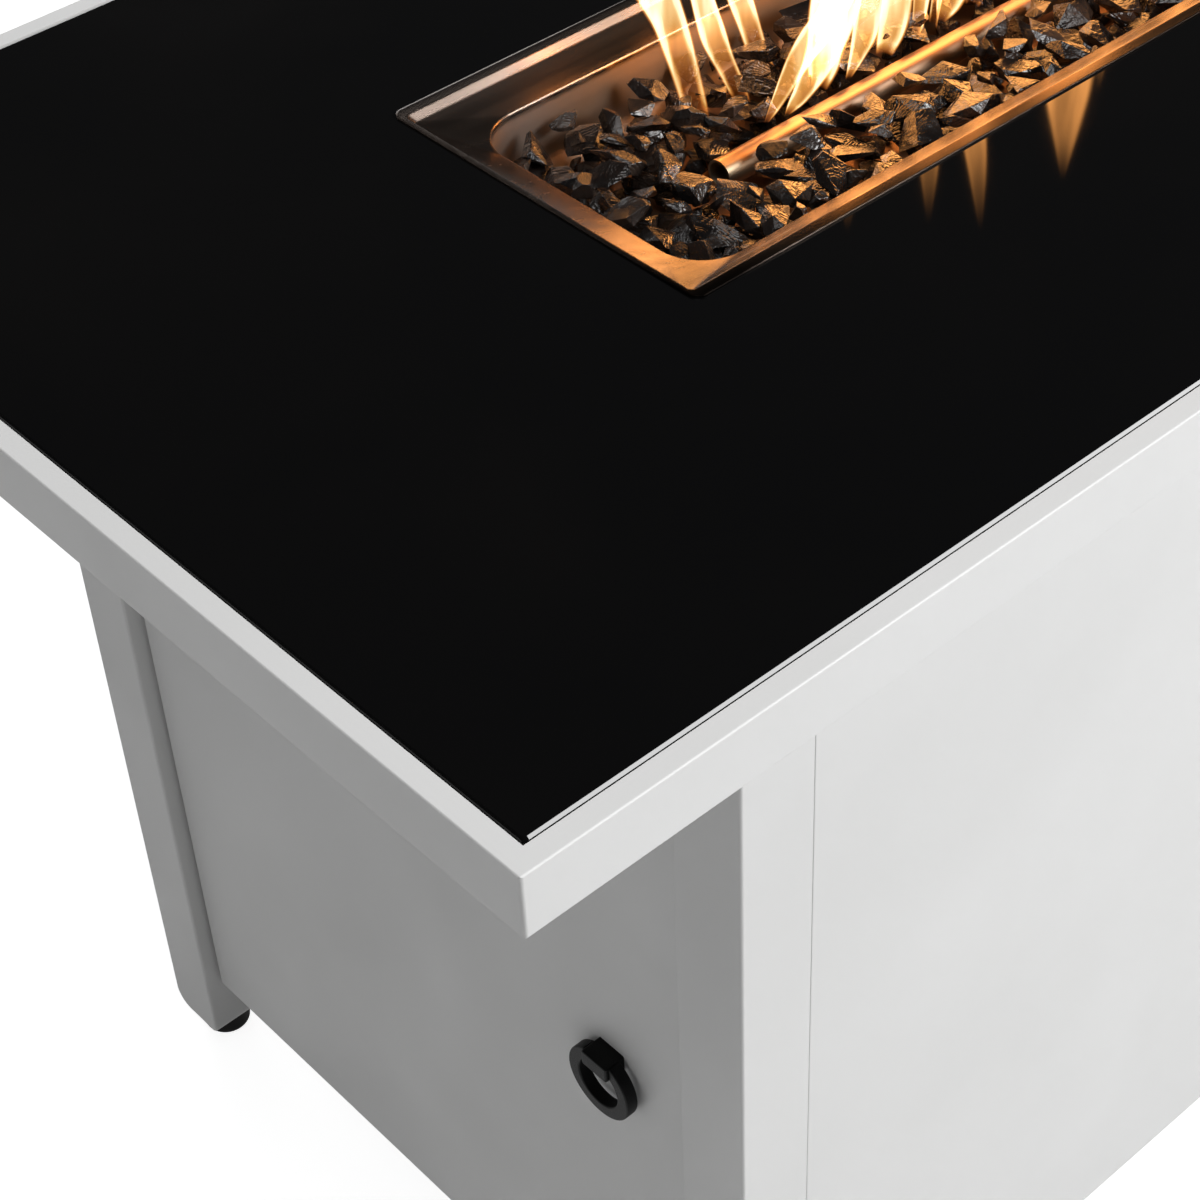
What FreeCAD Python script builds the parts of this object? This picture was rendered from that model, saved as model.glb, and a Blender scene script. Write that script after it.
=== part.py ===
import FreeCAD, Part

import math
import os
import random

# Gas fire pit table. Millimetres, +Z up. The origin is on the floor under the middle of the table.
# The door is at the -X end, the plain long side faces -Y and the controls face +Y.

# Whole table
table_length = 1067.0
table_width = 550.0
table_height = 636.0

# Top frame
rail_height = 29.0
lip_width = 9.7
rail_wall = 1.6
ledge_reach = 22.0
ledge_thickness = 2.0
rail_edge_radius = 0.8
frame_corner_radius = 1.6
mitre_gap = 0.02
key_arm = 46.0
key_clearance = 0.15

# Glass top
glass_thickness = 6.0
glass_gap = 1.1
glass_arris = 1.2
glass_corner_radius = 2.5
pad_thickness = 1.5
pad_radius = 6.5
pads_along_side = 6
pads_along_end = 3

# Bearers under the glass
bearer_height = 16.0
bearer_wall = 1.6
bearer_fit = 0.2
long_bearer_width = 20.0
long_bearer_gap = 9.0
bearer_pad_from_middle = 295.0

# Cabinet
end_setback = 126.0
side_setback = 33.5
post_size = 38.0
post_wall = 1.6
post_edge_radius = 1.5
post_seam_radius = 0.4
post_toe_radius = 12.0
post_heel_radius = 4.5
post_end_plate = 2.5
foot_height = 17.5
foot_radius = 13.5
foot_top_radius = 11.6
foot_stem_radius = 5.0
foot_stem_length = 14.0
foot_edge_radius = 4.0
foot_stem_clearance = 0.05

# Panels and door
sheet = 1.2
panel_bottom = 63.0
panel_return = 12.0
panel_bend_radius = 0.5
panel_gap = 0.15
panel_top_gap = 0.6
end_recess = 8.2
upper_rail_size = 20.0
upper_rail_wall = 1.5
vent_length = 44.0
vent_height = 6.0
vent_pitch = 14.0
vent_rows = 4
vent_columns = 3
vent_column_pitch = 70.0
vent_from_return = 30.0

# Door and its hinges
door_gap = 2.5
door_bottom = 60.0
door_top_gap = 3.0
door_depth = 16.0
door_bend_radius = 1.8
hinge_inset = 7.0
hinge_end_offset = 42.0
hinge_plate = 2.5
hinge_pin_radius = 2.5
hinge_pin_clearance = 0.05
hinge_pin_head_radius = 3.75
hinge_tongue_half = 5.0
hinge_arm_length = 20.0
hinge_flange_height = 26.0
clevis_sheet = 1.5
clevis_length = 24.0
clevis_gap = 0.3
hinge_notch_gap = 1.2

# Ring pull
pull_from_near_post = 53.0
pull_height = 317.7
lug_width = 16.0
lug_height = 9.1
lug_reach = 11.1
lug_edge_radius = 1.0
pull_screw_depth = 3.0
pull_screw_offset = 4.2
ring_outer_radius = 19.5
ring_inner_radius = 12.5
ring_depth = 6.6
ring_edge_radius = 1.0
ring_door_gap = 2.7
ring_end_gap = 0.35
ring_pin_radius = 1.8
ring_pin_length = 4.0
ring_pin_root = 1.5
ring_pin_clearance = 0.05
ring_socket_spare = 0.3

# Door catch
catch_length = 40.0
catch_height = 12.0
catch_depth = 12.0
catch_from_near_post = 45.0
catch_edge_radius = 1.0
strike_thickness = 1.5
strike_foot = 12.0
strike_drop = 16.0
catch_gap = 0.3

# Bottle shelf
shelf_sheet = 2.0
shelf_height = 75.0
shelf_gap = 0.3
shelf_door_gap = 3.6
shelf_panel_gap = 1.0
shelf_vent_radius = 50.0
bottle_from_door_end = 232.0
bottle_ring_bore = 106.0
bottle_ring_wall = 2.5
bottle_ring_height = 28.0
clamp_screw_radius = 4.0
clamp_screw_length = 52.0
clamp_screw_height = 18.5
clamp_nut_width = 14.0
clamp_nut_depth = 9.0
clamp_screw_clearance = 0.06
clamp_screw_reach = 16.0
clamp_hub_radius = 7.6
clamp_hub_length = 8.0
clamp_wing_span = 34.0
clamp_wing_height = 14.0
clamp_wing_shoulder = 4.9
clamp_wing_waist = 12.6
clamp_wing_root = 6.0
clamp_wing_thickness = 4.0

# Burner pan
pan_length = 577.0
pan_width = 190.5
pan_sheet = 1.0
pan_side_lip = 5.8
pan_end_lip = 2.2
pan_side_step_run = 3.2
pan_end_step_run = 1.0
pan_step_drop = 3.2
pan_rim_width = 22.9
pan_rim_drop = 11.0
pan_depth = 46.0
pan_draft = 3.0
pan_floor_chamfer = 5.0
pan_outer_radius = 5.0
pan_lip_radius = 2.5
pan_step_radius = 4.0
pan_opening_radius = 23.0
pan_side_clearance = 0.6
pan_end_clearance = 0.3

# Burner tube and its gas inlet
tube_radius = 7.0
tube_wall = 1.2
tube_length = 372.0
tube_height_in_pan = 12.5
tube_plug_inset = 22.0
tube_plug_length = 3.0
port_radius = 0.8
port_pitch = 15.7
port_angles = (62.0, -120.0)
saddle_width = 12.0
saddle_sheet = 1.5
saddle_below_centre = 2.5
saddle_from_tube_end = 46.0
stub_radius = 6.0
stub_bore = 4.5
stub_length = 24.0
stub_overlap = 2.0
stub_end_gap = 0.3
nut_height = 7.0
nut_across_flats = 24.0
elbow_radius = 10.0
elbow_drop = 15.0
elbow_bend = 12.0
elbow_reach = 22.0
mixer_radius = 9.5
mixer_wall = 2.0
mixer_length = 58.0
mixer_window_length = 14.0
mixer_window_width = 7.0
mixer_window_from_end = 10.0
orifice_flats = 17.0
orifice_length = 20.0
orifice_spud_radius = 4.0
orifice_spud_length = 12.0
fitting_clearance = 0.05

# Flame sensing and ignition
holder_sheet = 1.5
holder_width = 44.0
holder_depth = 14.0
probe_from_centre = 70.0
probe_spacing = 22.0
probe_from_tube = 17.0
ceramic_radius = 3.4
ceramic_length = 34.0
ceramic_collar_radius = 5.2
ceramic_collar_height = 2.5
electrode_radius = 1.1
electrode_rise = 5.0
electrode_reach = 10.2
thermocouple_radius = 2.6
thermocouple_length = 40.0
thermocouple_tip_radius = 1.4
thermocouple_tip_length = 4.0
thermocouple_seat_radius = 4.6
probe_below_pan = 16.0
probe_clearance = 0.1

# Controls on the +Y side
control_from_far_post = 179.5
control_rail_gap = 9.5
control_plate_length = 150.0
control_plate_height = 62.0
control_plate_thickness = 1.5
control_plate_radius = 8.0
control_screw_inset = 8.0
knob_offset = 32.0
igniter_offset = -38.0
knob_radius = 20.0
knob_height = 19.0
knob_skirt_height = 4.0
knob_skirt_edge = 1.0
knob_travel = 3.0
knob_gap = 3.6
knob_grip_width = 9.0
knob_grip_radius = 17.6
knob_grip_edge_radius = 2.2
knob_shoulder_radius = 14.0
knob_shoulder_height = 8.0
stem_share_in_knob = 0.6
dial_inner_radius = 9.0
dial_outer_radius = 25.0
dial_thickness = 1.2
stem_radius = 3.0
stem_length = 34.0
stem_clearance = 0.05
push_rod_length = 14.0
push_rod_gap = 0.3
valve_radius = 14.0
valve_length = 44.0
valve_flange_width = 46.0
valve_flange_height = 30.0
valve_flange_thickness = 3.0
valve_flange_radius = 4.0
valve_port_radius = 6.5
valve_port_length = 12.0
valve_port_from_front = 28.6
valve_sensing_port_radius = 4.5
hose_fitting_radius = 7.94
hose_fitting_flats = 19.0
hose_fitting_hex = 8.0
hose_fitting_thread = 16.0
hose_fitting_bore = 3.0
igniter_radius = 9.0
igniter_bore = 6.2
igniter_length = 58.0
igniter_flange_radius = 12.5
igniter_flange_height = 3.0
igniter_flange_edge = 1.2
igniter_nut_flats = 24.0
igniter_nut_height = 5.0
button_radius = 6.1
button_proud = 5.0
button_travel = 3.0
button_length = 18.0
button_edge = 1.2

# Gas pipe, held inside by its two nuts
pipe_radius = 4.0
pipe_nut_flats = 15.0
pipe_nut_length = 14.0
pipe_straight = 34.0
pipe_corner = 48.0

# Heat shield over the bottle
shield_length = 520.0
shield_width = 224.0
shield_sheet = 1.0
shield_pipe_gap = 4.0
shield_edge = 9.0
strap_width = 18.0
strap_sheet = 1.5
strap_from_middle = 190.0
strap_foot = 10.0

# Screws
screw_radius = 2.0
screw_head_radius = 3.8
screw_head_height = 2.2
screw_head_shoulder = (3.5, 1.1)
screw_head_crown = (2.3, 2.0)
screw_clearance = 0.1

# How far a cutting shape runs past the face that it cuts
overcut = 1.0

# Fire glass
stone_pitch_x = 22.0
stone_pitch_y = 17.9
stone_size = 9.5
stone_low = 17.0
stone_high = 31.5
stone_seed = 11
stone_sides = 5
stone_edge_gap = 0.6
stone_base_share = 0.66
stone_waist_low = 0.35
stone_waist_high = 0.6
stone_peak_least = 0.3
stone_peak_most = 0.55
stone_least_reach = 0.78
stone_most_tilt = 0.12

# Places worked out from the sizes above
half_length = table_length / 2
half_width = table_width / 2
top_z = table_height
apron_z = top_z - rail_height
glass_z = top_z - glass_thickness
ledge_top_z = glass_z - pad_thickness
ledge_bottom_z = ledge_top_z - ledge_thickness
bearer_bottom_z = ledge_bottom_z - bearer_height
body_x = half_length - end_setback
body_y = half_width - side_setback
post_x = body_x - post_size / 2
post_y = body_y - post_size / 2
post_inner_x = body_x - post_size
post_inner_y = body_y - post_size
panel_top_z = bearer_bottom_z - panel_top_gap
end_face_x = body_x - end_recess
pan_floor_z = top_z - pan_depth
pan_under_z = pan_floor_z - pan_sheet
tube_z = pan_floor_z + tube_height_in_pan
long_bearer_y = pan_width / 2 + long_bearer_gap + long_bearer_width / 2
door_top_z = panel_top_z - door_top_gap
door_half_width = post_inner_y - door_gap
hinge_x = -end_face_x + hinge_inset
hinge_y = door_half_width - hinge_inset
panel_inner_y = body_y - sheet
bottle_x = -body_x + bottle_from_door_end
elbow_z = pan_under_z - nut_height - elbow_drop
control_centre = post_inner_x - control_from_far_post
upper_rail_bottom_z = panel_top_z - sheet - bearer_fit - upper_rail_size
control_z = upper_rail_bottom_z - control_rail_gap - control_plate_height / 2
shield_z = control_z - pipe_radius - shield_pipe_gap - shield_edge
knob_x = control_centre + knob_offset
igniter_x = control_centre + igniter_offset
control_face_y = body_y + control_plate_thickness
pull_y = -post_inner_y + pull_from_near_post
ring_x = -end_face_x - ring_door_gap - ring_depth / 2

X = FreeCAD.Vector(1, 0, 0)
Y = FreeCAD.Vector(0, 1, 0)
Z = FreeCAD.Vector(0, 0, 1)
ORIGIN = FreeCAD.Vector(0, 0, 0)


# Drawing helpers
def point(x, y, z):
    return FreeCAD.Vector(x, y, z)


def block(low, high):
    size = [b - a for a, b in zip(low, high)]
    return Part.makeBox(size[0], size[1], size[2], point(*low))


def rod(radius, length, start, direction):
    return Part.makeCylinder(radius, length, point(*start), direction)


def prism(corners, sweep):
    outline = Part.makePolygon([point(*c) for c in corners] + [point(*corners[0])])
    return Part.Face(outline).extrude(sweep)


def rounded_wire(half_x, half_y, radius, z):
    """A closed outline of a rounded rectangle, its four straights and four quarter arcs in order."""
    edges = []
    turn = radius * (1 - math.sqrt(0.5))
    for quarter in range(4):
        sign_x, sign_y = ((1, 1), (-1, 1), (-1, -1), (1, -1))[quarter]
        corner = point(sign_x * half_x, sign_y * half_y, z)
        on_x = corner - X * (sign_x * radius)
        on_y = corner - Y * (sign_y * radius)
        middle = corner - X * (sign_x * turn) - Y * (sign_y * turn)
        first, last = (on_y, on_x) if quarter % 2 == 0 else (on_x, on_y)
        if edges:
            edges.append(Part.makeLine(edges[-1].Vertexes[-1].Point, first))
        edges.append(Part.Arc(first, middle, last).toShape())
    edges.append(Part.makeLine(edges[-1].Vertexes[-1].Point, edges[0].Vertexes[0].Point))
    return Part.Wire(edges)


def stacked(levels):
    """A solid through rounded rectangles, each given as (half_x, half_y, radius, z)."""
    return Part.makeLoft([rounded_wire(*level) for level in levels], True, True)


def hexagon(across_flats, length, start, direction):
    radius = across_flats / math.sqrt(3)
    circle = [math.radians(60 * n) for n in range(7)]
    flat = Part.makePolygon([point(radius * math.cos(a), radius * math.sin(a), 0) for a in circle])
    solid = Part.Face(flat).extrude(Z * length)
    solid.Placement = FreeCAD.Placement(point(*start), FreeCAD.Rotation(Z, direction))
    return solid


def turned(profile, start, direction):
    """A turned piece from (radius, height) points, its axis along direction."""
    outline = Part.makePolygon([point(r, 0, h) for r, h in profile + profile[:1]])
    solid = Part.Face(outline).revolve(ORIGIN, Z, 360)
    solid.Placement = FreeCAD.Placement(point(*start), FreeCAD.Rotation(Z, direction))
    return solid


def square_tube(low, high, wall, along):
    """A hollow bar between two corners, open at both ends of the axis along."""
    outer = block(low, high)
    inner_low = [a if n == along else a + wall for n, a in enumerate(low)]
    inner_high = [b if n == along else b - wall for n, b in enumerate(high)]
    return outer.cut(block(inner_low, inner_high))


def bent_line(name, points, radius):
    """A round bar along straight runs joined by tangent arcs as large as the runs allow."""
    route = [point(*p) for p in points]
    edges = []
    begin = route[0]
    radii = []
    for before, here, after in zip(route, route[1:], route[2:]):
        incoming = here - before
        outgoing = after - here
        turn = incoming.getAngle(outgoing)
        bend = 0.45 * min(incoming.Length, outgoing.Length) / math.tan(turn / 2)
        setback = bend * math.tan(turn / 2)
        arc_start = here - incoming.normalize() * setback
        arc_end = here + outgoing.normalize() * setback
        inward = (arc_start + arc_end) * 0.5 - here
        inward.normalize()
        middle = here + inward * (bend / math.cos(turn / 2) - bend)
        edges.append(Part.makeLine(begin, arc_start))
        edges.append(Part.Arc(arc_start, middle, arc_end).toShape())
        begin = arc_end
        radii.append(round(bend, 1))
    edges.append(Part.makeLine(begin, route[-1]))
    path = Part.Wire(edges)
    section = Part.Wire(Part.makeCircle(radius, route[0], route[1] - route[0]))
    solid = path.makePipeShell([section], True, False)
    print(name, "bend radii", radii, "length", round(path.Length, 1))
    return solid


def placed(shape, x=0.0, y=0.0, z=0.0, turn=0.0):
    copy = shape.copy()
    copy.rotate(ORIGIN, Z, turn)
    copy.translate(point(x, y, z))
    return copy


def mirrored(shape, normal):
    return shape.mirror(ORIGIN, normal)


def united(shapes):
    return shapes[0].fuse(shapes[1:]).removeSplitter()


def save(name, shape):
    shape.exportStep("parts/" + name + ".step")


def save_group(name, shapes):
    save(name, Part.makeCompound(shapes))


# Screw: a shank with a domed head
def screw(length, start, direction):
    profile = [
        (0, -length),
        (screw_radius, -length),
        (screw_radius, 0),
        (screw_head_radius, 0),
        screw_head_shoulder,
        screw_head_crown,
        (0, screw_head_height),
    ]
    return turned(profile, start, direction)


def screw_hole(length, start, direction):
    axis = point(*start) - direction * length
    return Part.makeCylinder(screw_radius + screw_clearance, length, axis, direction)


# Top rails: a hollow aluminium extrusion with a ledge for the glass, mitred at both ends
def rail_profile():
    turn = rail_edge_radius * (1 - math.sqrt(0.5))
    ledge_end = lip_width + ledge_reach
    ledge_top = -(glass_thickness + pad_thickness)
    ledge_bottom = ledge_top - ledge_thickness
    top = [point(0, rail_edge_radius, 0), point(0, lip_width, 0)]
    outline = [
        Part.Arc(
            point(0, 0, -rail_edge_radius),
            point(0, turn, -turn),
            point(0, rail_edge_radius, 0),
        ).toShape(),
        Part.makeLine(top[0], top[1]),
        Part.makeLine(top[1], point(0, lip_width, ledge_top)),
        Part.makeLine(point(0, lip_width, ledge_top), point(0, ledge_end, ledge_top)),
        Part.makeLine(point(0, ledge_end, ledge_top), point(0, ledge_end, ledge_bottom)),
        Part.makeLine(point(0, ledge_end, ledge_bottom), point(0, lip_width, ledge_bottom)),
        Part.makeLine(point(0, lip_width, ledge_bottom), point(0, lip_width, -rail_height)),
        Part.makeLine(point(0, lip_width, -rail_height), point(0, rail_edge_radius, -rail_height)),
        Part.Arc(
            point(0, rail_edge_radius, -rail_height),
            point(0, turn, turn - rail_height),
            point(0, 0, rail_edge_radius - rail_height),
        ).toShape(),
        Part.makeLine(point(0, 0, rail_edge_radius - rail_height), point(0, 0, -rail_edge_radius)),
    ]
    return Part.Face(Part.Wire(outline))


def top_rail(length):
    """One rail along X, its outer face on y = 0 and its top on z = 0."""
    bar = rail_profile().extrude(X * length)
    bore = block((0, rail_wall, rail_wall - rail_height), (length, lip_width - rail_wall, -rail_wall))
    depth = lip_width + ledge_reach
    joint = mitre_gap / 2
    plan = [
        (joint, 0, -rail_height),
        (length - joint, 0, -rail_height),
        (length - depth - joint, depth, -rail_height),
        (depth + joint, depth, -rail_height),
    ]
    rail = bar.cut(bore).common(prism(plan, Z * rail_height))
    rail.translate(X * (-length / 2))
    return rail


def make_top_frame():
    side = top_rail(table_length)
    end = top_rail(table_width)
    rim = stacked([(half_length, half_width, frame_corner_radius, z) for z in (apron_z, top_z)])
    for name, rail in (
        ("top_rail_front", placed(side, y=-half_width, z=top_z)),
        ("top_rail_rear", placed(side, y=half_width, z=top_z, turn=180)),
        ("top_rail_door_end", placed(end, x=-half_length, z=top_z, turn=-90)),
        ("top_rail_far_end", placed(end, x=half_length, z=top_z, turn=90)),
    ):
        save(name, rail.common(rim))
    near = rail_wall + key_clearance
    far = lip_width - rail_wall - key_clearance
    low = apron_z + rail_wall + key_clearance
    high = top_z - rail_wall - key_clearance
    arms = [
        block((near - half_length, near - half_width, low), (key_arm - half_length, far - half_width, high)),
        block((near - half_length, near - half_width, low), (far - half_length, key_arm - half_width, high)),
    ]
    key = united(arms)
    across = mirrored(key, X)
    save_group("corner_keys", [key, across, mirrored(key, Y), mirrored(across, Y)])


# Glass: one toughened pane with a ground arris and a rounded cut-out that the burner pan drops into
def glass_cutout():
    end_inset = pan_end_lip - pan_sheet - pan_end_clearance
    side_inset = pan_side_lip - pan_sheet - pan_side_clearance
    radius = pan_lip_radius + pan_sheet + pan_end_clearance
    return pan_length / 2 - end_inset, pan_width / 2 - side_inset, radius


def make_glass():
    half_x = half_length - lip_width - glass_gap
    half_y = half_width - lip_width - glass_gap
    inner = glass_corner_radius - glass_arris
    pane = stacked([
        (half_x - glass_arris, half_y - glass_arris, inner, glass_z),
        (half_x, half_y, glass_corner_radius, glass_z + glass_arris),
        (half_x, half_y, glass_corner_radius, top_z - glass_arris),
        (half_x - glass_arris, half_y - glass_arris, inner, top_z),
    ])
    cut_x, cut_y, radius = glass_cutout()
    hole = stacked([(cut_x, cut_y, radius, z) for z in (glass_z - overcut, top_z + overcut)])
    save("glass_top", pane.cut(hole))


def make_glass_pads():
    pads = []
    reach = lip_width + ledge_reach / 2 + glass_gap
    for n in range(pads_along_side):
        share = (n + 0.5) / pads_along_side - 0.5
        for side in (-1, 1):
            spot = (share * table_length, side * (half_width - reach), ledge_top_z)
            pads.append(rod(pad_radius, pad_thickness, spot, Z))
    for n in range(pads_along_end):
        share = (n + 0.5) / pads_along_end - 0.5
        for side in (-1, 1):
            spot = (side * (half_length - reach), share * table_width, ledge_top_z)
            pads.append(rod(pad_radius, pad_thickness, spot, Z))
    tall = pad_thickness + ledge_thickness
    for side in (-1, 1):
        for end in (-1, 0, 1):
            spot = (end * bearer_pad_from_middle, side * long_bearer_y, ledge_bottom_z)
            pads.append(rod(pad_radius, tall, spot, Z))
    save_group("glass_pads", pads)


# Bearers: tubes that carry the middle of the glass and tie the top to the posts
def make_bearers():
    reach_y = half_width - lip_width - bearer_fit
    low = (-body_x, -reach_y, bearer_bottom_z)
    high = (-post_inner_x, reach_y, ledge_bottom_z)
    cross = square_tube(low, high, bearer_wall, 1)
    for across in (-1, 1):
        cross = cross.cut(bearer_screw_hole(-1, across))
    save_group("cross_bearers", [cross, mirrored(cross, X)])
    reach_x = post_inner_x - bearer_fit
    low = (-reach_x, long_bearer_y - long_bearer_width / 2, bearer_bottom_z)
    high = (reach_x, long_bearer_y + long_bearer_width / 2, ledge_bottom_z)
    along = square_tube(low, high, bearer_wall, 0)
    save_group("long_bearers", [along, mirrored(along, Y)])


def bearer_screw_hole(side, across):
    start = (side * post_x, across * post_y, bearer_bottom_z + bearer_wall)
    return screw_hole(bearer_wall + post_end_plate * 2, start, Z)


# Posts: square tube with rounded lower corners, the outer one larger, and a plate that takes the foot
def post_side_profile(inset, bottom):
    """Outline in the YZ plane: y runs from the outer face inwards, z up from the floor."""
    toe = post_toe_radius - inset
    heel = post_heel_radius - inset
    toe_turn = toe * (1 - math.sqrt(0.5))
    heel_turn = heel * (1 - math.sqrt(0.5))
    low = foot_height + bottom
    high = bearer_bottom_z - bottom
    outer = inset
    inner = post_size - inset
    edges = [
        Part.makeLine(point(0, outer, high), point(0, outer, low + toe)),
        Part.Arc(
            point(0, outer, low + toe),
            point(0, outer + toe_turn, low + toe_turn),
            point(0, outer + toe, low),
        ).toShape(),
        Part.makeLine(point(0, outer + toe, low), point(0, inner - heel, low)),
        Part.Arc(
            point(0, inner - heel, low),
            point(0, inner - heel_turn, low + heel_turn),
            point(0, inner, low + heel),
        ).toShape(),
        Part.makeLine(point(0, inner, low + heel), point(0, inner, high)),
        Part.makeLine(point(0, inner, high), point(0, outer, high)),
    ]
    return Part.Face(Part.Wire(edges))


def make_posts():
    outer = post_side_profile(0, 0).extrude(X * post_size)
    for x, radius in ((0, post_edge_radius), (post_size, post_seam_radius)):
        upright = [
            edge
            for edge in outer.Edges
            if edge.Length > table_height / 2 and all(abs(v.X - x) < 1e-6 for v in edge.Vertexes)
        ]
        outer = outer.makeFillet(radius, upright)
    inner = post_side_profile(post_wall, post_end_plate).extrude(X * (post_size - 2 * post_wall))
    inner.translate(X * post_wall)
    stem_hole = foot_stem_radius + foot_stem_clearance
    hole = rod(stem_hole, post_end_plate * 2, (post_size / 2, post_size / 2, foot_height - overcut), Z)
    post = outer.cut(inner).cut(hole)
    post.translate(point(-body_x, -body_y, 0))
    post = post.cut(bearer_screw_hole(-1, -1))
    across = mirrored(post, X)
    feet = []
    for name, shape, side_x, side_y in (
        ("post_front_door_end", post, -1, -1),
        ("post_front_far_end", across, 1, -1),
        ("post_rear_door_end", mirrored(post, Y), -1, 1),
        ("post_rear_far_end", mirrored(across, Y), 1, 1),
    ):
        save(name, shape)
        feet.append(foot(side_x * post_x, side_y * post_y))
    save_group("feet", feet)


def foot(x, y):
    """A moulded glide: a rounded pad and a stem that is pressed up into the post."""
    rise = foot_edge_radius * (1 - math.sqrt(0.5))
    flat = foot_radius - foot_edge_radius
    stem_top = foot_height + foot_stem_length
    rim = Part.Arc(
        point(flat, 0, 0),
        point(foot_radius - rise, 0, rise),
        point(foot_radius, 0, foot_edge_radius),
    )
    outline = Part.makePolygon([
        point(foot_radius, 0, foot_edge_radius),
        point(foot_top_radius, 0, foot_height),
        point(foot_stem_radius, 0, foot_height),
        point(foot_stem_radius, 0, stem_top),
        point(0, 0, stem_top),
        ORIGIN,
        point(flat, 0, 0),
    ])
    pad = Part.Wire([rim.toShape()] + outline.Edges)
    return placed(Part.Face(pad).revolve(ORIGIN, Z, 360), x=x, y=y)


# Upper rails: tubes between the posts that the long panels hook over
def make_upper_rails():
    reach_x = post_inner_x - bearer_fit
    outer_y = panel_inner_y - bearer_fit
    low = (-reach_x, -outer_y, upper_rail_bottom_z)
    high = (reach_x, -outer_y + upper_rail_size, upper_rail_bottom_z + upper_rail_size)
    rail = square_tube(low, high, upper_rail_wall, 0)
    save_group("upper_rails", [rail, mirrored(rail, Y)])


# Panels: sheets with all four edges folded inwards
def folded_panel(half_span, bottom, top, depth, bend_radius):
    """A tray facing -Y on y = 0, with its returns reaching to y = depth."""
    outer = block((-half_span, 0, bottom), (half_span, depth, top))
    front = [edge for edge in outer.Edges if all(abs(v.Y) < 1e-6 for v in edge.Vertexes)]
    outer = outer.makeFillet(bend_radius, front)
    low = (sheet - half_span, sheet, bottom + sheet)
    high = (half_span - sheet, depth + overcut, top - sheet)
    return outer.cut(block(low, high))


def vent_slots(depth):
    """Rows of round-ended slots that let leaked gas out near the floor."""
    slots = []
    half = vent_length / 2 - vent_height / 2
    for row in range(vent_rows):
        z = panel_bottom + panel_return + vent_from_return + row * vent_pitch
        for column in range(vent_columns):
            x = (column - (vent_columns - 1) / 2) * vent_column_pitch
            bar = block((x - half, -overcut, z - vent_height / 2), (x + half, depth, z + vent_height / 2))
            for side in (-1, 1):
                bar = bar.fuse(rod(vent_height / 2, depth + overcut, (x + side * half, -overcut, z), Y))
            slots.append(bar)
    return slots


def make_panels():
    half_span = post_inner_x - panel_gap
    plain = folded_panel(half_span, panel_bottom, panel_top_z, panel_return, panel_bend_radius)
    rail_low = upper_rail_bottom_z - bearer_fit
    for side in (-1, 1):
        low_x = min(side * half_span, side * (half_span - sheet))
        notch = block((low_x - overcut, sheet, rail_low),
                      (low_x + sheet + overcut, panel_return + overcut, panel_top_z - sheet))
        plain = plain.cut(notch)
    save("panel_front", placed(plain, y=-body_y))
    rear = placed(plain, y=body_y, turn=180)
    for x, radius in ((knob_x, dial_inner_radius), (igniter_x, igniter_radius + screw_clearance)):
        rear = rear.cut(rod(radius, panel_return, (x, body_y - panel_return + overcut, control_z), Y))
    for start in control_screw_spots():
        rear = rear.cut(screw_hole(panel_return, start, Y))
    save("panel_rear", rear)
    end_span = post_inner_y - panel_gap
    end = folded_panel(end_span, panel_bottom, panel_top_z, panel_return, panel_bend_radius)
    for slot in vent_slots(sheet + overcut):
        end = end.cut(slot)
    save("panel_far_end", placed(end, x=end_face_x, turn=90))


# Door: a folded tray with notches in the hinge side, where the hinge tongues turn out
def hinge_heights():
    return door_bottom + hinge_end_offset, door_top_z - hinge_end_offset


def make_door():
    tray = folded_panel(door_half_width, door_bottom, door_top_z, door_depth, door_bend_radius)
    door = placed(tray, x=-end_face_x, turn=-90)
    for z in hinge_heights():
        half = hinge_plate / 2 + hinge_notch_gap
        low = (-end_face_x + sheet, door_half_width - sheet - overcut, z - half)
        high = (-end_face_x + door_depth + overcut, door_half_width + overcut, z + half)
        door = door.cut(block(low, high))
    for y in pull_screw_places():
        door = door.cut(screw_hole(sheet * 2, (-end_face_x + sheet, y, pull_height), X))
    save("door", door)


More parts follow.
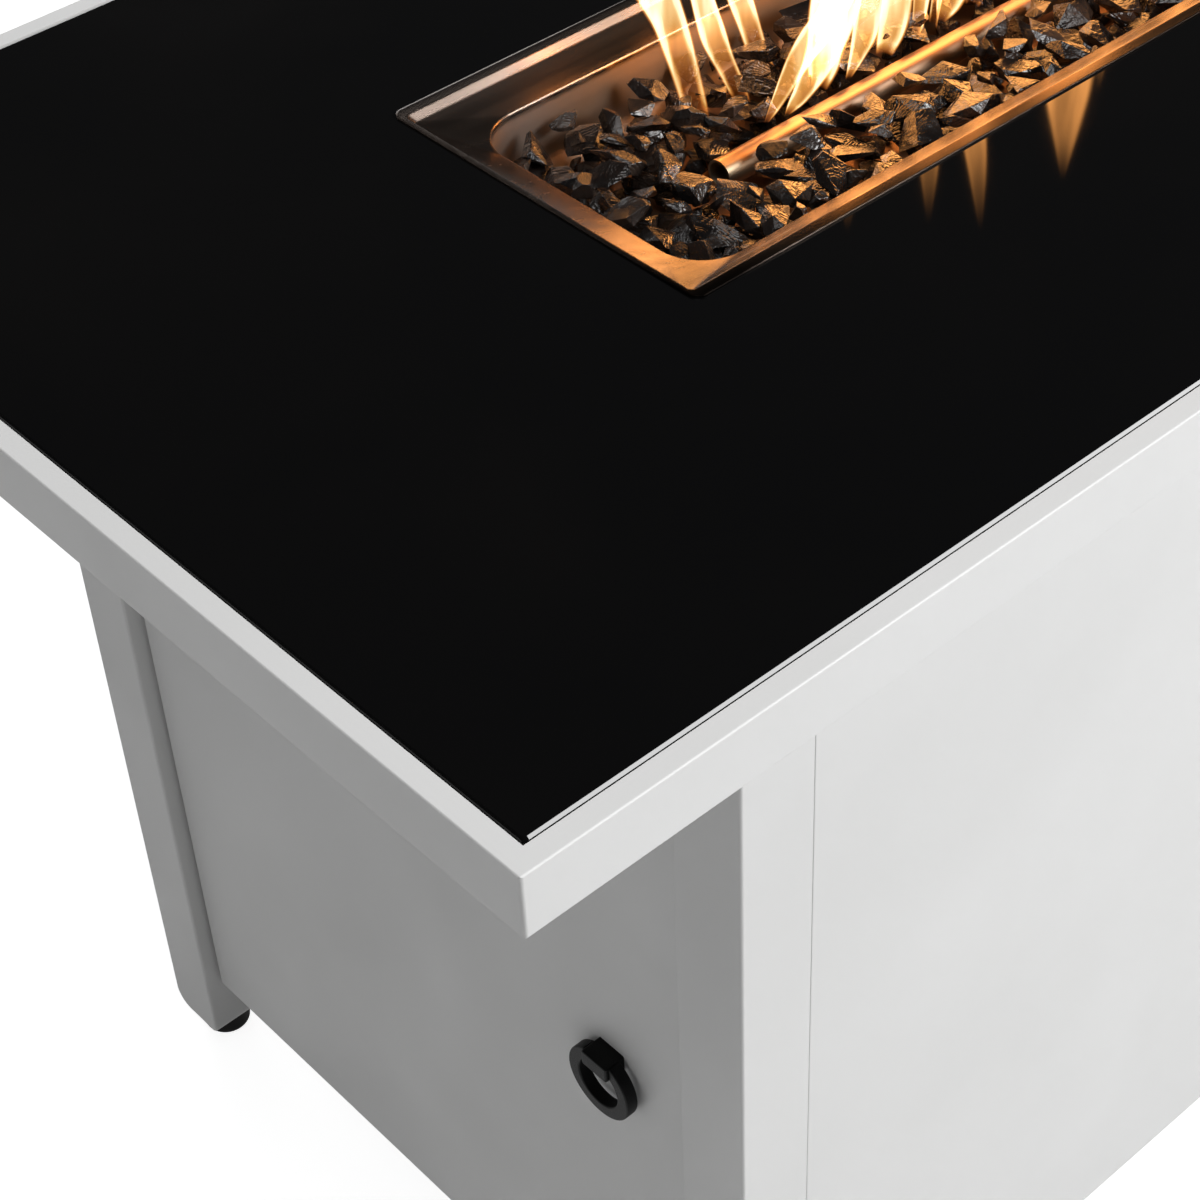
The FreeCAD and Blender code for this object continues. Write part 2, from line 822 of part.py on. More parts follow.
def make_hinges():
    """Knife hinges: a bracket on the post, whose tongue holds a pin between the two lugs of a clevis."""
    brackets = []
    clevises = []
    pins = []
    for z in hinge_heights():
        low = z - hinge_plate / 2
        arm_x = hinge_x + door_depth - hinge_inset + hinge_plate
        plate = united([
            block((hinge_x, hinge_y - hinge_tongue_half, low),
                  (arm_x + hinge_arm_length, hinge_y + hinge_tongue_half, low + hinge_plate)),
            block((arm_x, hinge_y, low), (arm_x + hinge_arm_length, post_inner_y, low + hinge_plate)),
            rod(hinge_tongue_half, hinge_plate, (hinge_x, hinge_y, low), Z),
            block((arm_x, post_inner_y - hinge_plate, low),
                  (arm_x + hinge_arm_length, post_inner_y, low + hinge_flange_height)),
        ])
        bore = hinge_pin_radius + hinge_pin_clearance
        plate = plate.cut(rod(bore, hinge_plate * 3, (hinge_x, hinge_y, low - hinge_plate), Z))
        brackets.append(plate)
        inside_x = -end_face_x + sheet
        lug_low = low - clevis_gap - clevis_sheet
        lug_high = low + hinge_plate + clevis_gap
        back_y = hinge_y - hinge_tongue_half - clevis_sheet
        lugs = []
        for lug_z in (lug_low, lug_high):
            lug = block((inside_x, back_y - clevis_length, lug_z), (hinge_x, hinge_y, lug_z + clevis_sheet))
            tip = rod(hinge_tongue_half, clevis_sheet, (hinge_x, hinge_y, lug_z), Z)
            base = block((hinge_x, back_y - clevis_length, lug_z),
                         (hinge_x + hinge_tongue_half, hinge_y, lug_z + clevis_sheet))
            lugs += [lug, tip, base]
        web = block((inside_x, back_y - clevis_length, lug_low),
                    (inside_x + clevis_sheet, back_y, lug_high + clevis_sheet))
        clevis = united(lugs + [web])
        span = lug_high + clevis_sheet - lug_low
        pin_bore = rod(hinge_pin_radius, span + 2 * overcut, (hinge_x, hinge_y, lug_low - overcut), Z)
        clevises.append(clevis.cut(pin_bore))
        pin = rod(hinge_pin_radius, span, (hinge_x, hinge_y, lug_low), Z)
        head = rod(hinge_pin_head_radius, clevis_sheet, (hinge_x, hinge_y, lug_low + span), Z)
        pins.append(united([pin, head]))
    save_group("hinge_brackets", brackets)
    save_group("hinge_clevises", clevises)
    save_group("hinge_pins", pins)


# Door catch: a magnet block under the bearer and a bent strike plate in the door
def make_catch():
    back_x = -end_face_x + door_depth
    near_y = -post_inner_y + catch_from_near_post
    low = (back_x + catch_gap, near_y, bearer_bottom_z - catch_height)
    high = (back_x + catch_gap + catch_depth, near_y + catch_length, bearer_bottom_z)
    case = block(low, high)
    upright = [e for e in case.Edges if abs(e.Vertexes[0].Z - e.Vertexes[-1].Z) > catch_height / 2]
    case = case.makeFillet(catch_edge_radius, upright)
    save("magnet_catch", case)
    strike_top = door_top_z - sheet
    far_y = near_y + catch_length
    high = (back_x, far_y, strike_top)
    foot_plate = block((back_x - strike_foot, near_y, strike_top - strike_thickness), high)
    face = block((back_x - strike_thickness, near_y, strike_top - strike_drop), high)
    save("strike_plate", united([foot_plate, face]))


# Ring pull: a lug on the door, and an open ring whose two pins are sprung into the lug's sides
def pull_screw_places():
    return pull_y - pull_screw_offset, pull_y + pull_screw_offset


def make_ring_pull():
    face_x = -end_face_x
    half = lug_width / 2
    lug = block(
        (face_x - lug_reach, pull_y - half, pull_height - lug_height / 2),
        (face_x, pull_y + half, pull_height + lug_height / 2),
    )
    free_edges = [e for e in lug.Edges if not all(abs(v.X - face_x) < 1e-6 for v in e.Vertexes)]
    lug = lug.makeFillet(lug_edge_radius, free_edges)
    depth = ring_pin_length + ring_socket_spare
    for side in (-1, 1):
        start = (ring_x, pull_y + side * (half - depth), pull_height)
        lug = lug.cut(rod(ring_pin_radius + ring_pin_clearance, depth + overcut, start, Y * side))
    for y in pull_screw_places():
        lug = lug.cut(screw_hole(pull_screw_depth, (face_x, y, pull_height), X))
    save("ring_lug", lug)
    save("ring_pull", open_ring(half + ring_end_gap))


def open_ring(half_gap):
    """A flat band with its ends cut square beside the lug, and a pin on each end."""
    middle_radius = (ring_outer_radius + ring_inner_radius) / 2
    middle_z = pull_height - math.sqrt(middle_radius ** 2 - half_gap ** 2)
    start = (ring_x - ring_depth / 2, pull_y, middle_z)
    band = rod(ring_outer_radius, ring_depth, start, X).cut(rod(ring_inner_radius, ring_depth, start, X))
    rims = [e for e in band.Edges if isinstance(e.Curve, Part.Circle)]
    band = band.makeFillet(ring_edge_radius, rims)
    mouth = block(
        (ring_x - ring_depth, pull_y - half_gap, middle_z),
        (ring_x + ring_depth, pull_y + half_gap, middle_z + ring_outer_radius + overcut),
    )
    pins = []
    for side in (-1, 1):
        begin = (ring_x, pull_y + side * (half_gap + ring_pin_root), pull_height)
        pins.append(rod(ring_pin_radius, ring_pin_root + ring_end_gap + ring_pin_length, begin, Y * -side))
    return united([band.cut(mouth)] + pins)


# Bottle shelf: a folded tray between the posts, with a ring that the bottle's foot stands in
def make_shelf():
    reach_x = post_inner_x - panel_gap - sheet - shelf_gap
    reach_y = panel_inner_y - shelf_gap
    end_y = post_inner_y - shelf_gap
    door_x = end_face_x - door_depth - shelf_door_gap
    far_x = end_face_x - panel_return - shelf_panel_gap
    outline = [
        (-door_x, -end_y), (-reach_x, -end_y), (-reach_x, -reach_y), (reach_x, -reach_y), (reach_x, -end_y),
        (far_x, -end_y), (far_x, end_y), (reach_x, end_y), (reach_x, reach_y), (-reach_x, reach_y),
        (-reach_x, end_y), (-door_x, end_y),
    ]
    plate = prism([(x, y, shelf_height) for x, y in outline], Z * shelf_sheet)
    flange_low = panel_bottom + sheet + shelf_gap
    flanges = []
    for side in (-1, 1):
        y = side * (reach_y - shelf_sheet)
        low_y = min(y, side * reach_y)
        flanges.append(block((-reach_x, low_y, flange_low), (reach_x, low_y + shelf_sheet, shelf_height)))
    for x in (-door_x, far_x - shelf_sheet):
        flanges.append(block((x, -end_y, flange_low), (x + shelf_sheet, end_y, shelf_height)))
    shelf = united([plate] + flanges)
    shelf = shelf.cut(rod(shelf_vent_radius, shelf_sheet * 3, (bottle_x, 0, shelf_height - shelf_sheet), Z))
    save("bottle_shelf", shelf)
    top = shelf_height + shelf_sheet
    outer = bottle_ring_bore + bottle_ring_wall
    ring = rod(outer, bottle_ring_height, (bottle_x, 0, top), Z)
    ring = ring.cut(rod(bottle_ring_bore, bottle_ring_height * 2, (bottle_x, 0, top - overcut), Z))
    hole = clamp_screw_radius + clamp_screw_clearance
    spot = (bottle_x - outer - clamp_nut_depth - overcut, 0, top + clamp_screw_height)
    z = top + clamp_screw_height
    ring = united([ring, clamp_nut(z, bottle_x - outer)])
    save("bottle_ring", ring.cut(rod(hole, bottle_ring_wall + clamp_nut_depth + 2 * overcut, spot, X)))
    make_clamp_screw(z, bottle_x - outer)


def clamp_nut(z, ring_x):
    """The square nut that is welded to the ring."""
    half = clamp_nut_width / 2
    return block((ring_x - clamp_nut_depth, -half, z - half), (ring_x + bottle_ring_wall / 2, half, z + half))


def make_clamp_screw(z, ring_x):
    """The wing screw that pinches the bottle's foot."""
    tip_x = ring_x + bottle_ring_wall
    shank = rod(clamp_screw_radius, clamp_screw_length, (tip_x - clamp_screw_length, 0, z), X)
    hub_x = tip_x - clamp_screw_length
    hub = rod(clamp_hub_radius, clamp_hub_length, (hub_x - clamp_hub_length, 0, z), X)
    root_x = hub_x - clamp_wing_root
    half_span = clamp_wing_span / 2
    wing_outline = [
        (root_x, -clamp_wing_thickness / 2, z),
        (root_x - clamp_wing_shoulder, -clamp_wing_thickness / 2, z + half_span),
        (root_x - clamp_wing_height, -clamp_wing_thickness / 2, z + half_span),
        (hub_x - clamp_wing_waist, -clamp_wing_thickness / 2, z),
        (root_x - clamp_wing_height, -clamp_wing_thickness / 2, z - half_span),
        (root_x - clamp_wing_shoulder, -clamp_wing_thickness / 2, z - half_span),
    ]
    wings = prism(wing_outline, Y * clamp_wing_thickness)
    save("clamp_screw", united([shank, hub, wings]))


# Burner pan: pressed from one sheet, a lip on the glass, a dished rim and drafted walls
def pan_levels(outward, downward):
    """The pan's pressed surface as rounded rectangles, moved outward and downward by the sheet."""
    wall_inset = pan_rim_width + pan_draft
    floor_inset = wall_inset + pan_floor_chamfer
    end_step = pan_end_lip + pan_end_step_run
    side_step = pan_side_lip + pan_side_step_run
    stations = [
        (pan_end_lip, pan_side_lip, 0.0, pan_lip_radius),
        (end_step, side_step, pan_step_drop, pan_step_radius),
        (pan_rim_width, pan_rim_width, pan_rim_drop, pan_opening_radius),
        (wall_inset, wall_inset, pan_depth - pan_floor_chamfer, pan_opening_radius - pan_draft),
        (floor_inset, floor_inset, pan_depth, pan_opening_radius - pan_draft),
    ]
    levels = []
    for end_inset, side_inset, drop, radius in stations:
        half_x = pan_length / 2 - end_inset + outward
        half_y = pan_width / 2 - side_inset + outward
        levels.append((half_x, half_y, radius + outward, top_z + pan_sheet - drop - downward))
    floor = levels[-1]
    levels[-1] = (floor[0], floor[1], floor[2], pan_floor_z - downward)
    return levels


def make_pan():
    lip = stacked([
        (pan_length / 2, pan_width / 2, pan_outer_radius, top_z),
        (pan_length / 2, pan_width / 2, pan_outer_radius, top_z + pan_sheet),
    ])
    outside = stacked(pan_levels(pan_sheet, pan_sheet))
    hollow = stacked(pan_levels(0, 0))
    above = pan_levels(0, 0)[0]
    mouth = stacked([above, above[:3] + (top_z + pan_sheet * 4,)])
    pan = lip.fuse(outside).cut(hollow).cut(mouth)
    pan = pan.cut(rod(stub_radius + probe_clearance, pan_sheet * 3, (0, 0, pan_under_z - pan_sheet), Z))
    for x, radius in probe_places():
        hole = rod(radius + probe_clearance, pan_sheet * 3, (x, probe_y(), pan_under_z - pan_sheet), Z)
        pan = pan.cut(hole)
    save("burner_pan", pan.removeSplitter())


# Burner tube: open at the ends, plugged a little way in, with a row of ports on each side
def make_burner():
    half = tube_length / 2
    tube = rod(tube_radius, tube_length, (-half, 0, tube_z), X)
    tube = tube.cut(rod(tube_radius - tube_wall, tube_length + 2 * overcut, (-half - overcut, 0, tube_z), X))
    stub = rod(stub_radius, stub_length, (0, 0, tube_z - tube_radius - stub_length + stub_overlap), Z)
    stub = stub.cut(rod(tube_radius, tube_length, (-half, 0, tube_z), X))
    tube = united([tube, stub])
    gas_way = stub_length + tube_wall + stub_overlap
    tube = tube.cut(rod(stub_bore, gas_way, (0, 0, tube_z - tube_radius - stub_length), Z))
    first = half - tube_plug_inset - port_pitch
    count = int(2 * first / port_pitch)
    for angle in port_angles:
        outward = point(0, math.sin(math.radians(angle)), math.cos(math.radians(angle)))
        for n in range(count + 1):
            x = (n - count / 2) * port_pitch
            tube = tube.cut(rod(port_radius, tube_radius + overcut, (x, 0, tube_z), outward))
    save("burner_tube", tube)
    plugs = []
    for side in (-1, 1):
        start = (side * (half - tube_plug_inset) - tube_plug_length / 2, 0, tube_z)
        plugs.append(rod(tube_radius - tube_wall, tube_plug_length, start, X))
    save_group("tube_plugs", plugs)
    saddles = []
    for side in (-1, 1):
        x = side * (half - saddle_from_tube_end)
        saddles.append(saddle(x))
    save_group("burner_saddles", saddles)


def saddle(x):
    """A strip bent up into a seat for the tube, with its feet on the pan floor."""
    seat = tube_radius + fitting_clearance
    outer = seat + saddle_sheet
    seat_top = tube_z - saddle_below_centre
    half = saddle_width / 2
    cradle = block((x - half, -outer, pan_floor_z), (x + half, outer, seat_top))
    cradle = cradle.cut(rod(seat, saddle_width + 2 * overcut, (x - half - overcut, 0, tube_z), X))
    opening = block((x - half - overcut, -outer + saddle_sheet, pan_floor_z),
                    (x + half + overcut, outer - saddle_sheet, tube_z - outer))
    return cradle.cut(opening)


def elbow_bar(radius, top_end):
    """A round bar that comes down from the nut and turns a quarter towards +X."""
    turn = elbow_bend * (1 - math.sqrt(0.5))
    top = point(0, 0, top_end)
    arc_start = point(0, 0, elbow_z + elbow_bend)
    arc_end = point(elbow_bend, 0, elbow_z)
    path = Part.Wire([
        Part.makeLine(top, arc_start),
        Part.Arc(arc_start, point(turn, 0, elbow_z + turn), arc_end).toShape(),
        Part.makeLine(arc_end, point(elbow_reach, 0, elbow_z)),
    ])
    section = Part.Wire(Part.makeCircle(radius, top, Z))
    return path.makePipeShell([section], True, False)


def make_gas_inlet():
    nut_z = pan_under_z - nut_height
    nut = hexagon(nut_across_flats, nut_height, (0, 0, nut_z), Z)
    nut = nut.cut(rod(stub_radius + fitting_clearance, nut_height + 2 * overcut, (0, 0, nut_z - overcut), Z))
    save("burner_locknut", nut)
    stub_end = tube_z - tube_radius - stub_length + stub_overlap
    socket_low = stub_end - stub_end_gap
    socket = rod(stub_radius + fitting_clearance, nut_z - socket_low, (0, 0, socket_low), Z)
    save("inlet_elbow", elbow_bar(elbow_radius, nut_z).cut(elbow_bar(stub_bore, nut_z)).cut(socket))
    start = (elbow_reach, 0, elbow_z)
    mixer = rod(mixer_radius, mixer_length, start, X)
    mixer = mixer.cut(rod(mixer_radius - mixer_wall, mixer_length - mixer_wall, start, X))
    mixer = mixer.cut(rod(orifice_spud_radius + fitting_clearance, mixer_length + overcut, start, X))
    window_x = elbow_reach + mixer_length - mixer_window_length - mixer_window_from_end
    half = mixer_window_width / 2
    reach = mixer_radius + overcut
    for half_y, half_z in ((reach, half), (half, reach)):
        low = (window_x, -half_y, elbow_z - half_z)
        high = (window_x + mixer_window_length, half_y, elbow_z + half_z)
        mixer = mixer.cut(block(low, high))
    save("air_mixer", mixer)
    end_x = elbow_reach + mixer_length
    spud = rod(orifice_spud_radius, orifice_spud_length, (end_x - orifice_spud_length, 0, elbow_z), X)
    body = hexagon(orifice_flats, orifice_length, (end_x, 0, elbow_z), X)
    save("orifice_fitting", united([spud, body]))


# Spark electrode and thermocouple, side by side on the far side of the burner
def probe_places():
    return [(probe_from_centre, ceramic_radius), (probe_from_centre + probe_spacing, thermocouple_radius)]


def probe_y():
    return tube_radius + probe_from_tube


def make_probes():
    y = probe_y()
    spark_x, flame_x = [x for x, _ in probe_places()]
    middle = (spark_x + flame_x) / 2
    top = pan_floor_z + holder_sheet
    holder = block((middle - holder_width / 2, y - holder_depth / 2, pan_floor_z),
                   (middle + holder_width / 2, y + holder_depth / 2, top))
    for x, radius in probe_places():
        hole = rod(radius + probe_clearance, holder_sheet * 3, (x, y, pan_floor_z - overcut), Z)
        holder = holder.cut(hole)
    save("probe_holder", holder)
    low = pan_under_z - probe_below_pan
    ceramic = rod(ceramic_radius, ceramic_length, (spark_x, y, low), Z)
    collar = rod(ceramic_collar_radius, ceramic_collar_height, (spark_x, y, top), Z)
    tip_z = low + ceramic_length
    knee_z = tip_z + electrode_rise
    wire_length = knee_z - tip_z + electrode_radius
    wire = rod(electrode_radius, wire_length, (spark_x, y, tip_z - electrode_radius), Z)
    knee = Part.makeSphere(electrode_radius, point(spark_x, y, knee_z))
    finger = rod(electrode_radius, electrode_reach, (spark_x, y, knee_z), Y * -1)
    save("spark_electrode", united([ceramic, collar, wire, knee, finger]))
    sensor = turned(
        [
            (0, 0),
            (thermocouple_radius, 0),
            (thermocouple_radius, thermocouple_length - thermocouple_tip_length),
            (thermocouple_tip_radius, thermocouple_length),
            (0, thermocouple_length),
        ],
        (flame_x, y, low),
        Z,
    )
    seat = rod(thermocouple_seat_radius, ceramic_collar_height, (flame_x, y, top), Z)
    save("thermocouple", united([sensor, seat]))


# Controls: plate, dial ring, valve, stem and knob, igniter
def control_screw_spots():
    reach_x = control_plate_length / 2 - control_screw_inset
    reach_z = control_plate_height / 2 - control_screw_inset
    spots = []
    for side in (-1, 1):
        for end in (-1, 1):
            spots.append((control_centre + side * reach_x, control_face_y, control_z + end * reach_z))
    return spots


def make_control_plate():
    plate = stacked([
        (control_plate_length / 2, control_plate_height / 2, control_plate_radius, 0),
        (control_plate_length / 2, control_plate_height / 2, control_plate_radius, control_plate_thickness),
    ])
    plate.rotate(ORIGIN, X, -90)
    plate.translate(point(control_centre, body_y, control_z))
    for x, radius in ((knob_x, dial_inner_radius), (igniter_x, igniter_radius + screw_clearance)):
        start = (x, body_y - overcut, control_z)
        plate = plate.cut(rod(radius, control_plate_thickness + 2 * overcut, start, Y))
    for start in control_screw_spots():
        plate = plate.cut(screw_hole(control_plate_thickness * 2, start, Y))
    save("control_plate", plate)
    dial = rod(dial_outer_radius, dial_thickness, (knob_x, control_face_y, control_z), Y)
    bore_y = control_face_y - overcut
    dial = dial.cut(rod(dial_inner_radius, dial_thickness + 2 * overcut, (knob_x, bore_y, control_z), Y))
    save("dial_ring", dial)


def valve_front_y():
    return body_y - sheet - valve_flange_thickness


def stem_start_y():
    return control_face_y + dial_thickness + knob_gap + knob_height * stem_share_in_knob - stem_length


def make_valve():
    front = valve_front_y()
    inner = front - valve_length
    body = rod(valve_radius, valve_length, (knob_x, inner, control_z), Y)
    flange = block((knob_x - valve_flange_width / 2, front, control_z - valve_flange_height / 2),
                   (knob_x + valve_flange_width / 2, body_y - sheet, control_z + valve_flange_height / 2))
    upright = [e for e in flange.Edges if abs(e.Vertexes[0].Y - e.Vertexes[-1].Y) > 1]
    flange = flange.makeFillet(valve_flange_radius, upright)
    port_y = valve_port_y()
    outlet = rod(valve_port_radius, valve_port_length, (knob_x, inner - valve_port_length, control_z), Y)
    inlet = rod(valve_port_radius, valve_radius + valve_port_length, (knob_x, port_y, control_z), Z * -1)
    sensing_length = valve_radius + valve_port_length
    sensing = rod(valve_sensing_port_radius, sensing_length, (knob_x, port_y, control_z), X * -1)
    valve = united([body, flange, outlet, inlet, sensing])
    bore_start = stem_start_y() - push_rod_gap - push_rod_length - knob_travel - overcut
    bore = rod(stem_radius + stem_clearance, control_face_y - bore_start, (knob_x, bore_start, control_z), Y)
    save("gas_valve", valve.cut(bore))


def valve_port_y():
    return valve_front_y() - valve_port_from_front


def make_hose_fitting():
    """The threaded inlet that the gas hose is screwed to."""
    port_y = valve_port_y()
    top = control_z - valve_radius - valve_port_length
    hexagonal = hexagon(hose_fitting_flats, hose_fitting_hex, (knob_x, port_y, top - hose_fitting_hex), Z)
    length = hose_fitting_hex + hose_fitting_thread
    thread = rod(hose_fitting_radius, hose_fitting_thread, (knob_x, port_y, top - length), Z)
    bore = rod(hose_fitting_bore, length * 2, (knob_x, port_y, top - length - overcut), Z)
    save("hose_inlet", united([hexagonal, thread]).cut(bore))


def make_knob():
    base = control_face_y + dial_thickness + knob_gap
    stem_y = stem_start_y()
    rod_y = stem_y - push_rod_gap - push_rod_length
    save("valve_push_rod", rod(stem_radius, push_rod_length, (knob_x, rod_y, control_z), Y))
    save("valve_stem", rod(stem_radius, stem_length, (knob_x, stem_y, control_z), Y))
    profile = [
        (0, 0),
        (knob_radius, 0),
        (knob_radius, knob_skirt_height - knob_skirt_edge),
        (knob_radius - knob_skirt_edge, knob_skirt_height),
        (knob_shoulder_radius, knob_skirt_height),
        (knob_shoulder_radius, knob_shoulder_height),
        (0, knob_shoulder_height),
    ]
    skirt = turned(profile, (knob_x, base, control_z), Y)
    half = knob_grip_width / 2
    grip = block((knob_x - half, base, control_z - knob_grip_radius),
                 (knob_x + half, base + knob_height, control_z + knob_grip_radius))
    long_edges = [e for e in grip.Edges if all(abs(v.Y - base - knob_height) < 1e-6 for v in e.Vertexes)]
    grip = grip.makeFillet(knob_grip_edge_radius, long_edges)
    grip = grip.common(rod(knob_grip_radius, knob_height, (knob_x, base, control_z), Y))
    knob = united([skirt, grip])
    socket = rod(stem_radius, stem_length - (base - stem_y), (knob_x, base, control_z), Y)
    save("control_knob", knob.cut(socket))


def make_igniter():
    flange_y = control_face_y
    inner = flange_y - igniter_length
    body = rod(igniter_radius, igniter_length, (igniter_x, inner, control_z), Y)
    flange = turned(
        [
            (0, 0),
            (igniter_flange_radius, 0),
            (igniter_flange_radius, igniter_flange_height - igniter_flange_edge),
            (igniter_flange_radius - igniter_flange_edge, igniter_flange_height),
            (0, igniter_flange_height),
        ],
        (igniter_x, flange_y, control_z),
        Y,
    )
    well = button_length + button_travel + overcut
    mouth_y = flange_y + igniter_flange_height
    bore = rod(igniter_bore, well, (igniter_x, mouth_y + button_proud - well, control_z), Y)
    save("igniter_body", united([body, flange]).cut(bore))
    nut_y = body_y - sheet - igniter_nut_height
    nut = hexagon(igniter_nut_flats, igniter_nut_height, (igniter_x, nut_y, control_z), Y)
    nut_bore = igniter_radius + fitting_clearance
    nut = nut.cut(rod(nut_bore, igniter_nut_height * 2, (igniter_x, nut_y - overcut, control_z), Y))
    save("igniter_nut", nut)
    top_y = mouth_y + button_proud
    button = turned(
        [
            (0, 0),
            (button_radius, 0),
            (button_radius, button_length - button_edge),
            (button_radius - button_edge, button_length),
            (0, button_length),
        ],
        (igniter_x, top_y - button_length, control_z),
        Y,
    )
    save("igniter_button", button)


# Gas pipe, along straight runs and arcs
def make_lines():
    pipe_start = elbow_reach + mixer_length + orifice_length
    outlet_y = valve_front_y() - valve_length - valve_port_length
    nuts = []
    for start, direction in (((pipe_start, 0, elbow_z), X), ((knob_x, outlet_y, control_z), Y * -1)):
        nut = hexagon(pipe_nut_flats, pipe_nut_length, start, direction)
        nuts.append(nut.cut(rod(pipe_radius + fitting_clearance, pipe_nut_length, start, direction)))
    save_group("pipe_nuts", nuts)
    turn_x = knob_x - pipe_corner
    turn_y = pipe_corner * 0.55
    route = [
        (pipe_start, 0, elbow_z),
        (pipe_start + pipe_straight, 0, elbow_z),
        (turn_x, turn_y * 0.3, elbow_z - 1),
        (knob_x - pipe_corner * 0.4, turn_y, elbow_z - 4),
        (knob_x - 2, turn_y + pipe_corner, control_z + 5),
        (knob_x, outlet_y - pipe_straight, control_z),
        (knob_x, outlet_y, control_z),
    ]
    save("gas_pipe", bent_line("gas_pipe", route, pipe_radius))


# Heat shield: a shallow tray hung from the long bearers
def make_shield():
    half_x = shield_length / 2
    half_y = shield_width / 2
    tray = block((-half_x, -half_y, shield_z), (half_x, half_y, shield_z + shield_edge))
    tray = tray.cut(block((shield_sheet - half_x, shield_sheet - half_y, shield_z + shield_sheet),
                          (half_x - shield_sheet, half_y - shield_sheet, shield_z + shield_edge + overcut)))
    save("heat_shield", tray)
    straps = []
    for side in (-1, 1):
        for end in (-1, 1):
            straps.append(strap(end * strap_from_middle, side, half_y))
    save_group("shield_straps", straps)


def strap(x, side, half_y):
    """A Z-bent strip from the shield's edge up to the long bearer."""
    half = strap_width / 2
    outer = half_y + strap_sheet
    foot_low = bearer_bottom_z - strap_sheet
    pieces = [
        block((x - half, half_y, shield_z), (x + half, outer, bearer_bottom_z)),
        block((x - half, half_y, foot_low), (x + half, outer + strap_foot, bearer_bottom_z)),
    ]
    hanger = united(pieces)
    return hanger if side > 0 else mirrored(hanger, Y)


# Screws, each kind grouped in one node
def make_screws():
    screws = [screw(sheet + control_plate_thickness, start, Y) for start in control_screw_spots()]
    for side in (-1, 1):
        for across in (-1, 1):
            start = (side * post_x, across * post_y, bearer_bottom_z + bearer_wall)
            screws.append(screw(bearer_wall + post_end_plate, start, Z))
    save_group("frame_screws", screws)
    inside_x = -end_face_x + sheet
    length = sheet + pull_screw_depth - screw_clearance
    pull = [screw(length, (inside_x, y, pull_height), X) for y in pull_screw_places()]
    save_group("pull_screws", pull)


# Fire glass: angular stones in staggered rows each side of the tube, all standing on the pan floor
def stone(x, y, dice):
    """A faceted lump: a flat base, a wide waist and an off-centre peak."""
    height = dice.uniform(stone_low, stone_high)
    turn = dice.uniform(0, 2 * math.pi)
    waist_z = pan_floor_z + height * dice.uniform(stone_waist_low, stone_waist_high)
    peak = dice.uniform(stone_peak_least, stone_peak_most)
    rings = []
    for share, z in ((stone_base_share, pan_floor_z), (1.0, waist_z), (peak, pan_floor_z + height)):
        ring = []
        for n in range(stone_sides):
            angle = turn + 2 * math.pi * (n + share) / stone_sides
            reach = stone_size * share * dice.uniform(stone_least_reach, 1.0)
            tilt = 0.0 if z == pan_floor_z else dice.uniform(-stone_most_tilt, 0.0) * height
            ring.append(point(x + reach * math.cos(angle), y + reach * math.sin(angle), z + tilt))
        rings.append(ring)
    faces = [Part.Face(Part.makePolygon(rings[0] + rings[0][:1]))]
    for lower, upper in zip(rings, rings[1:]):
        for n in range(stone_sides):
            after = (n + 1) % stone_sides
            faces.append(Part.Face(Part.makePolygon([lower[n], lower[after], upper[n], lower[n]])))
            faces.append(Part.Face(Part.makePolygon([lower[after], upper[after], upper[n], lower[after]])))
    top = rings[-1]
    for n in range(1, stone_sides - 1):
        faces.append(Part.Face(Part.makePolygon([top[0], top[n], top[n + 1], top[0]])))
    return Part.Solid(Part.Shell(faces))


def make_fire_glass():
    dice = random.Random(stone_seed)
    floor_x = pan_length / 2 - pan_rim_width - pan_draft - pan_floor_chamfer
    floor_y = pan_width / 2 - pan_rim_width - pan_draft - pan_floor_chamfer
    first_y = tube_radius + saddle_sheet + stone_edge_gap + stone_size
    rows = int((floor_y - first_y - stone_size) / stone_pitch_y) + 1
    columns = int(2 * (floor_x - stone_size - stone_edge_gap) / stone_pitch_x)
    probes = [(x, probe_y()) for x, _ in probe_places()]
    stones = []
    for side in (-1, 1):
        for row in range(rows):
            y = side * (first_y + row * stone_pitch_y)
            shift = (row % 2) * stone_pitch_x / 2
            for column in range(columns):
                x = (column - (columns - 1) / 2) * stone_pitch_x + shift - stone_pitch_x / 4
                blocked = any(
                    abs(x - probe_x) < holder_width / 2 + stone_size
                    and abs(y - holder_y) < holder_depth / 2 + stone_size
                    for probe_x, holder_y in probes
                )
                if not blocked:
                    stones.append(stone(x, y, dice))
    save_group("fire_glass", stones)
    print("stones", len(stones))


os.makedirs("parts", exist_ok=True)
make_top_frame()
make_glass()
make_glass_pads()
make_bearers()
make_posts()
make_upper_rails()
make_panels()
make_door()
make_hinges()
make_catch()
make_ring_pull()
make_shelf()
make_pan()
make_burner()
make_gas_inlet()
make_probes()
make_control_plate()
make_valve()
make_hose_fitting()
make_knob()
make_igniter()
make_lines()
make_shield()
make_screws()
make_fire_glass()
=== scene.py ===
import math
import random

import bmesh
import bpy
import numpy as np
from mathutils import Matrix, Vector


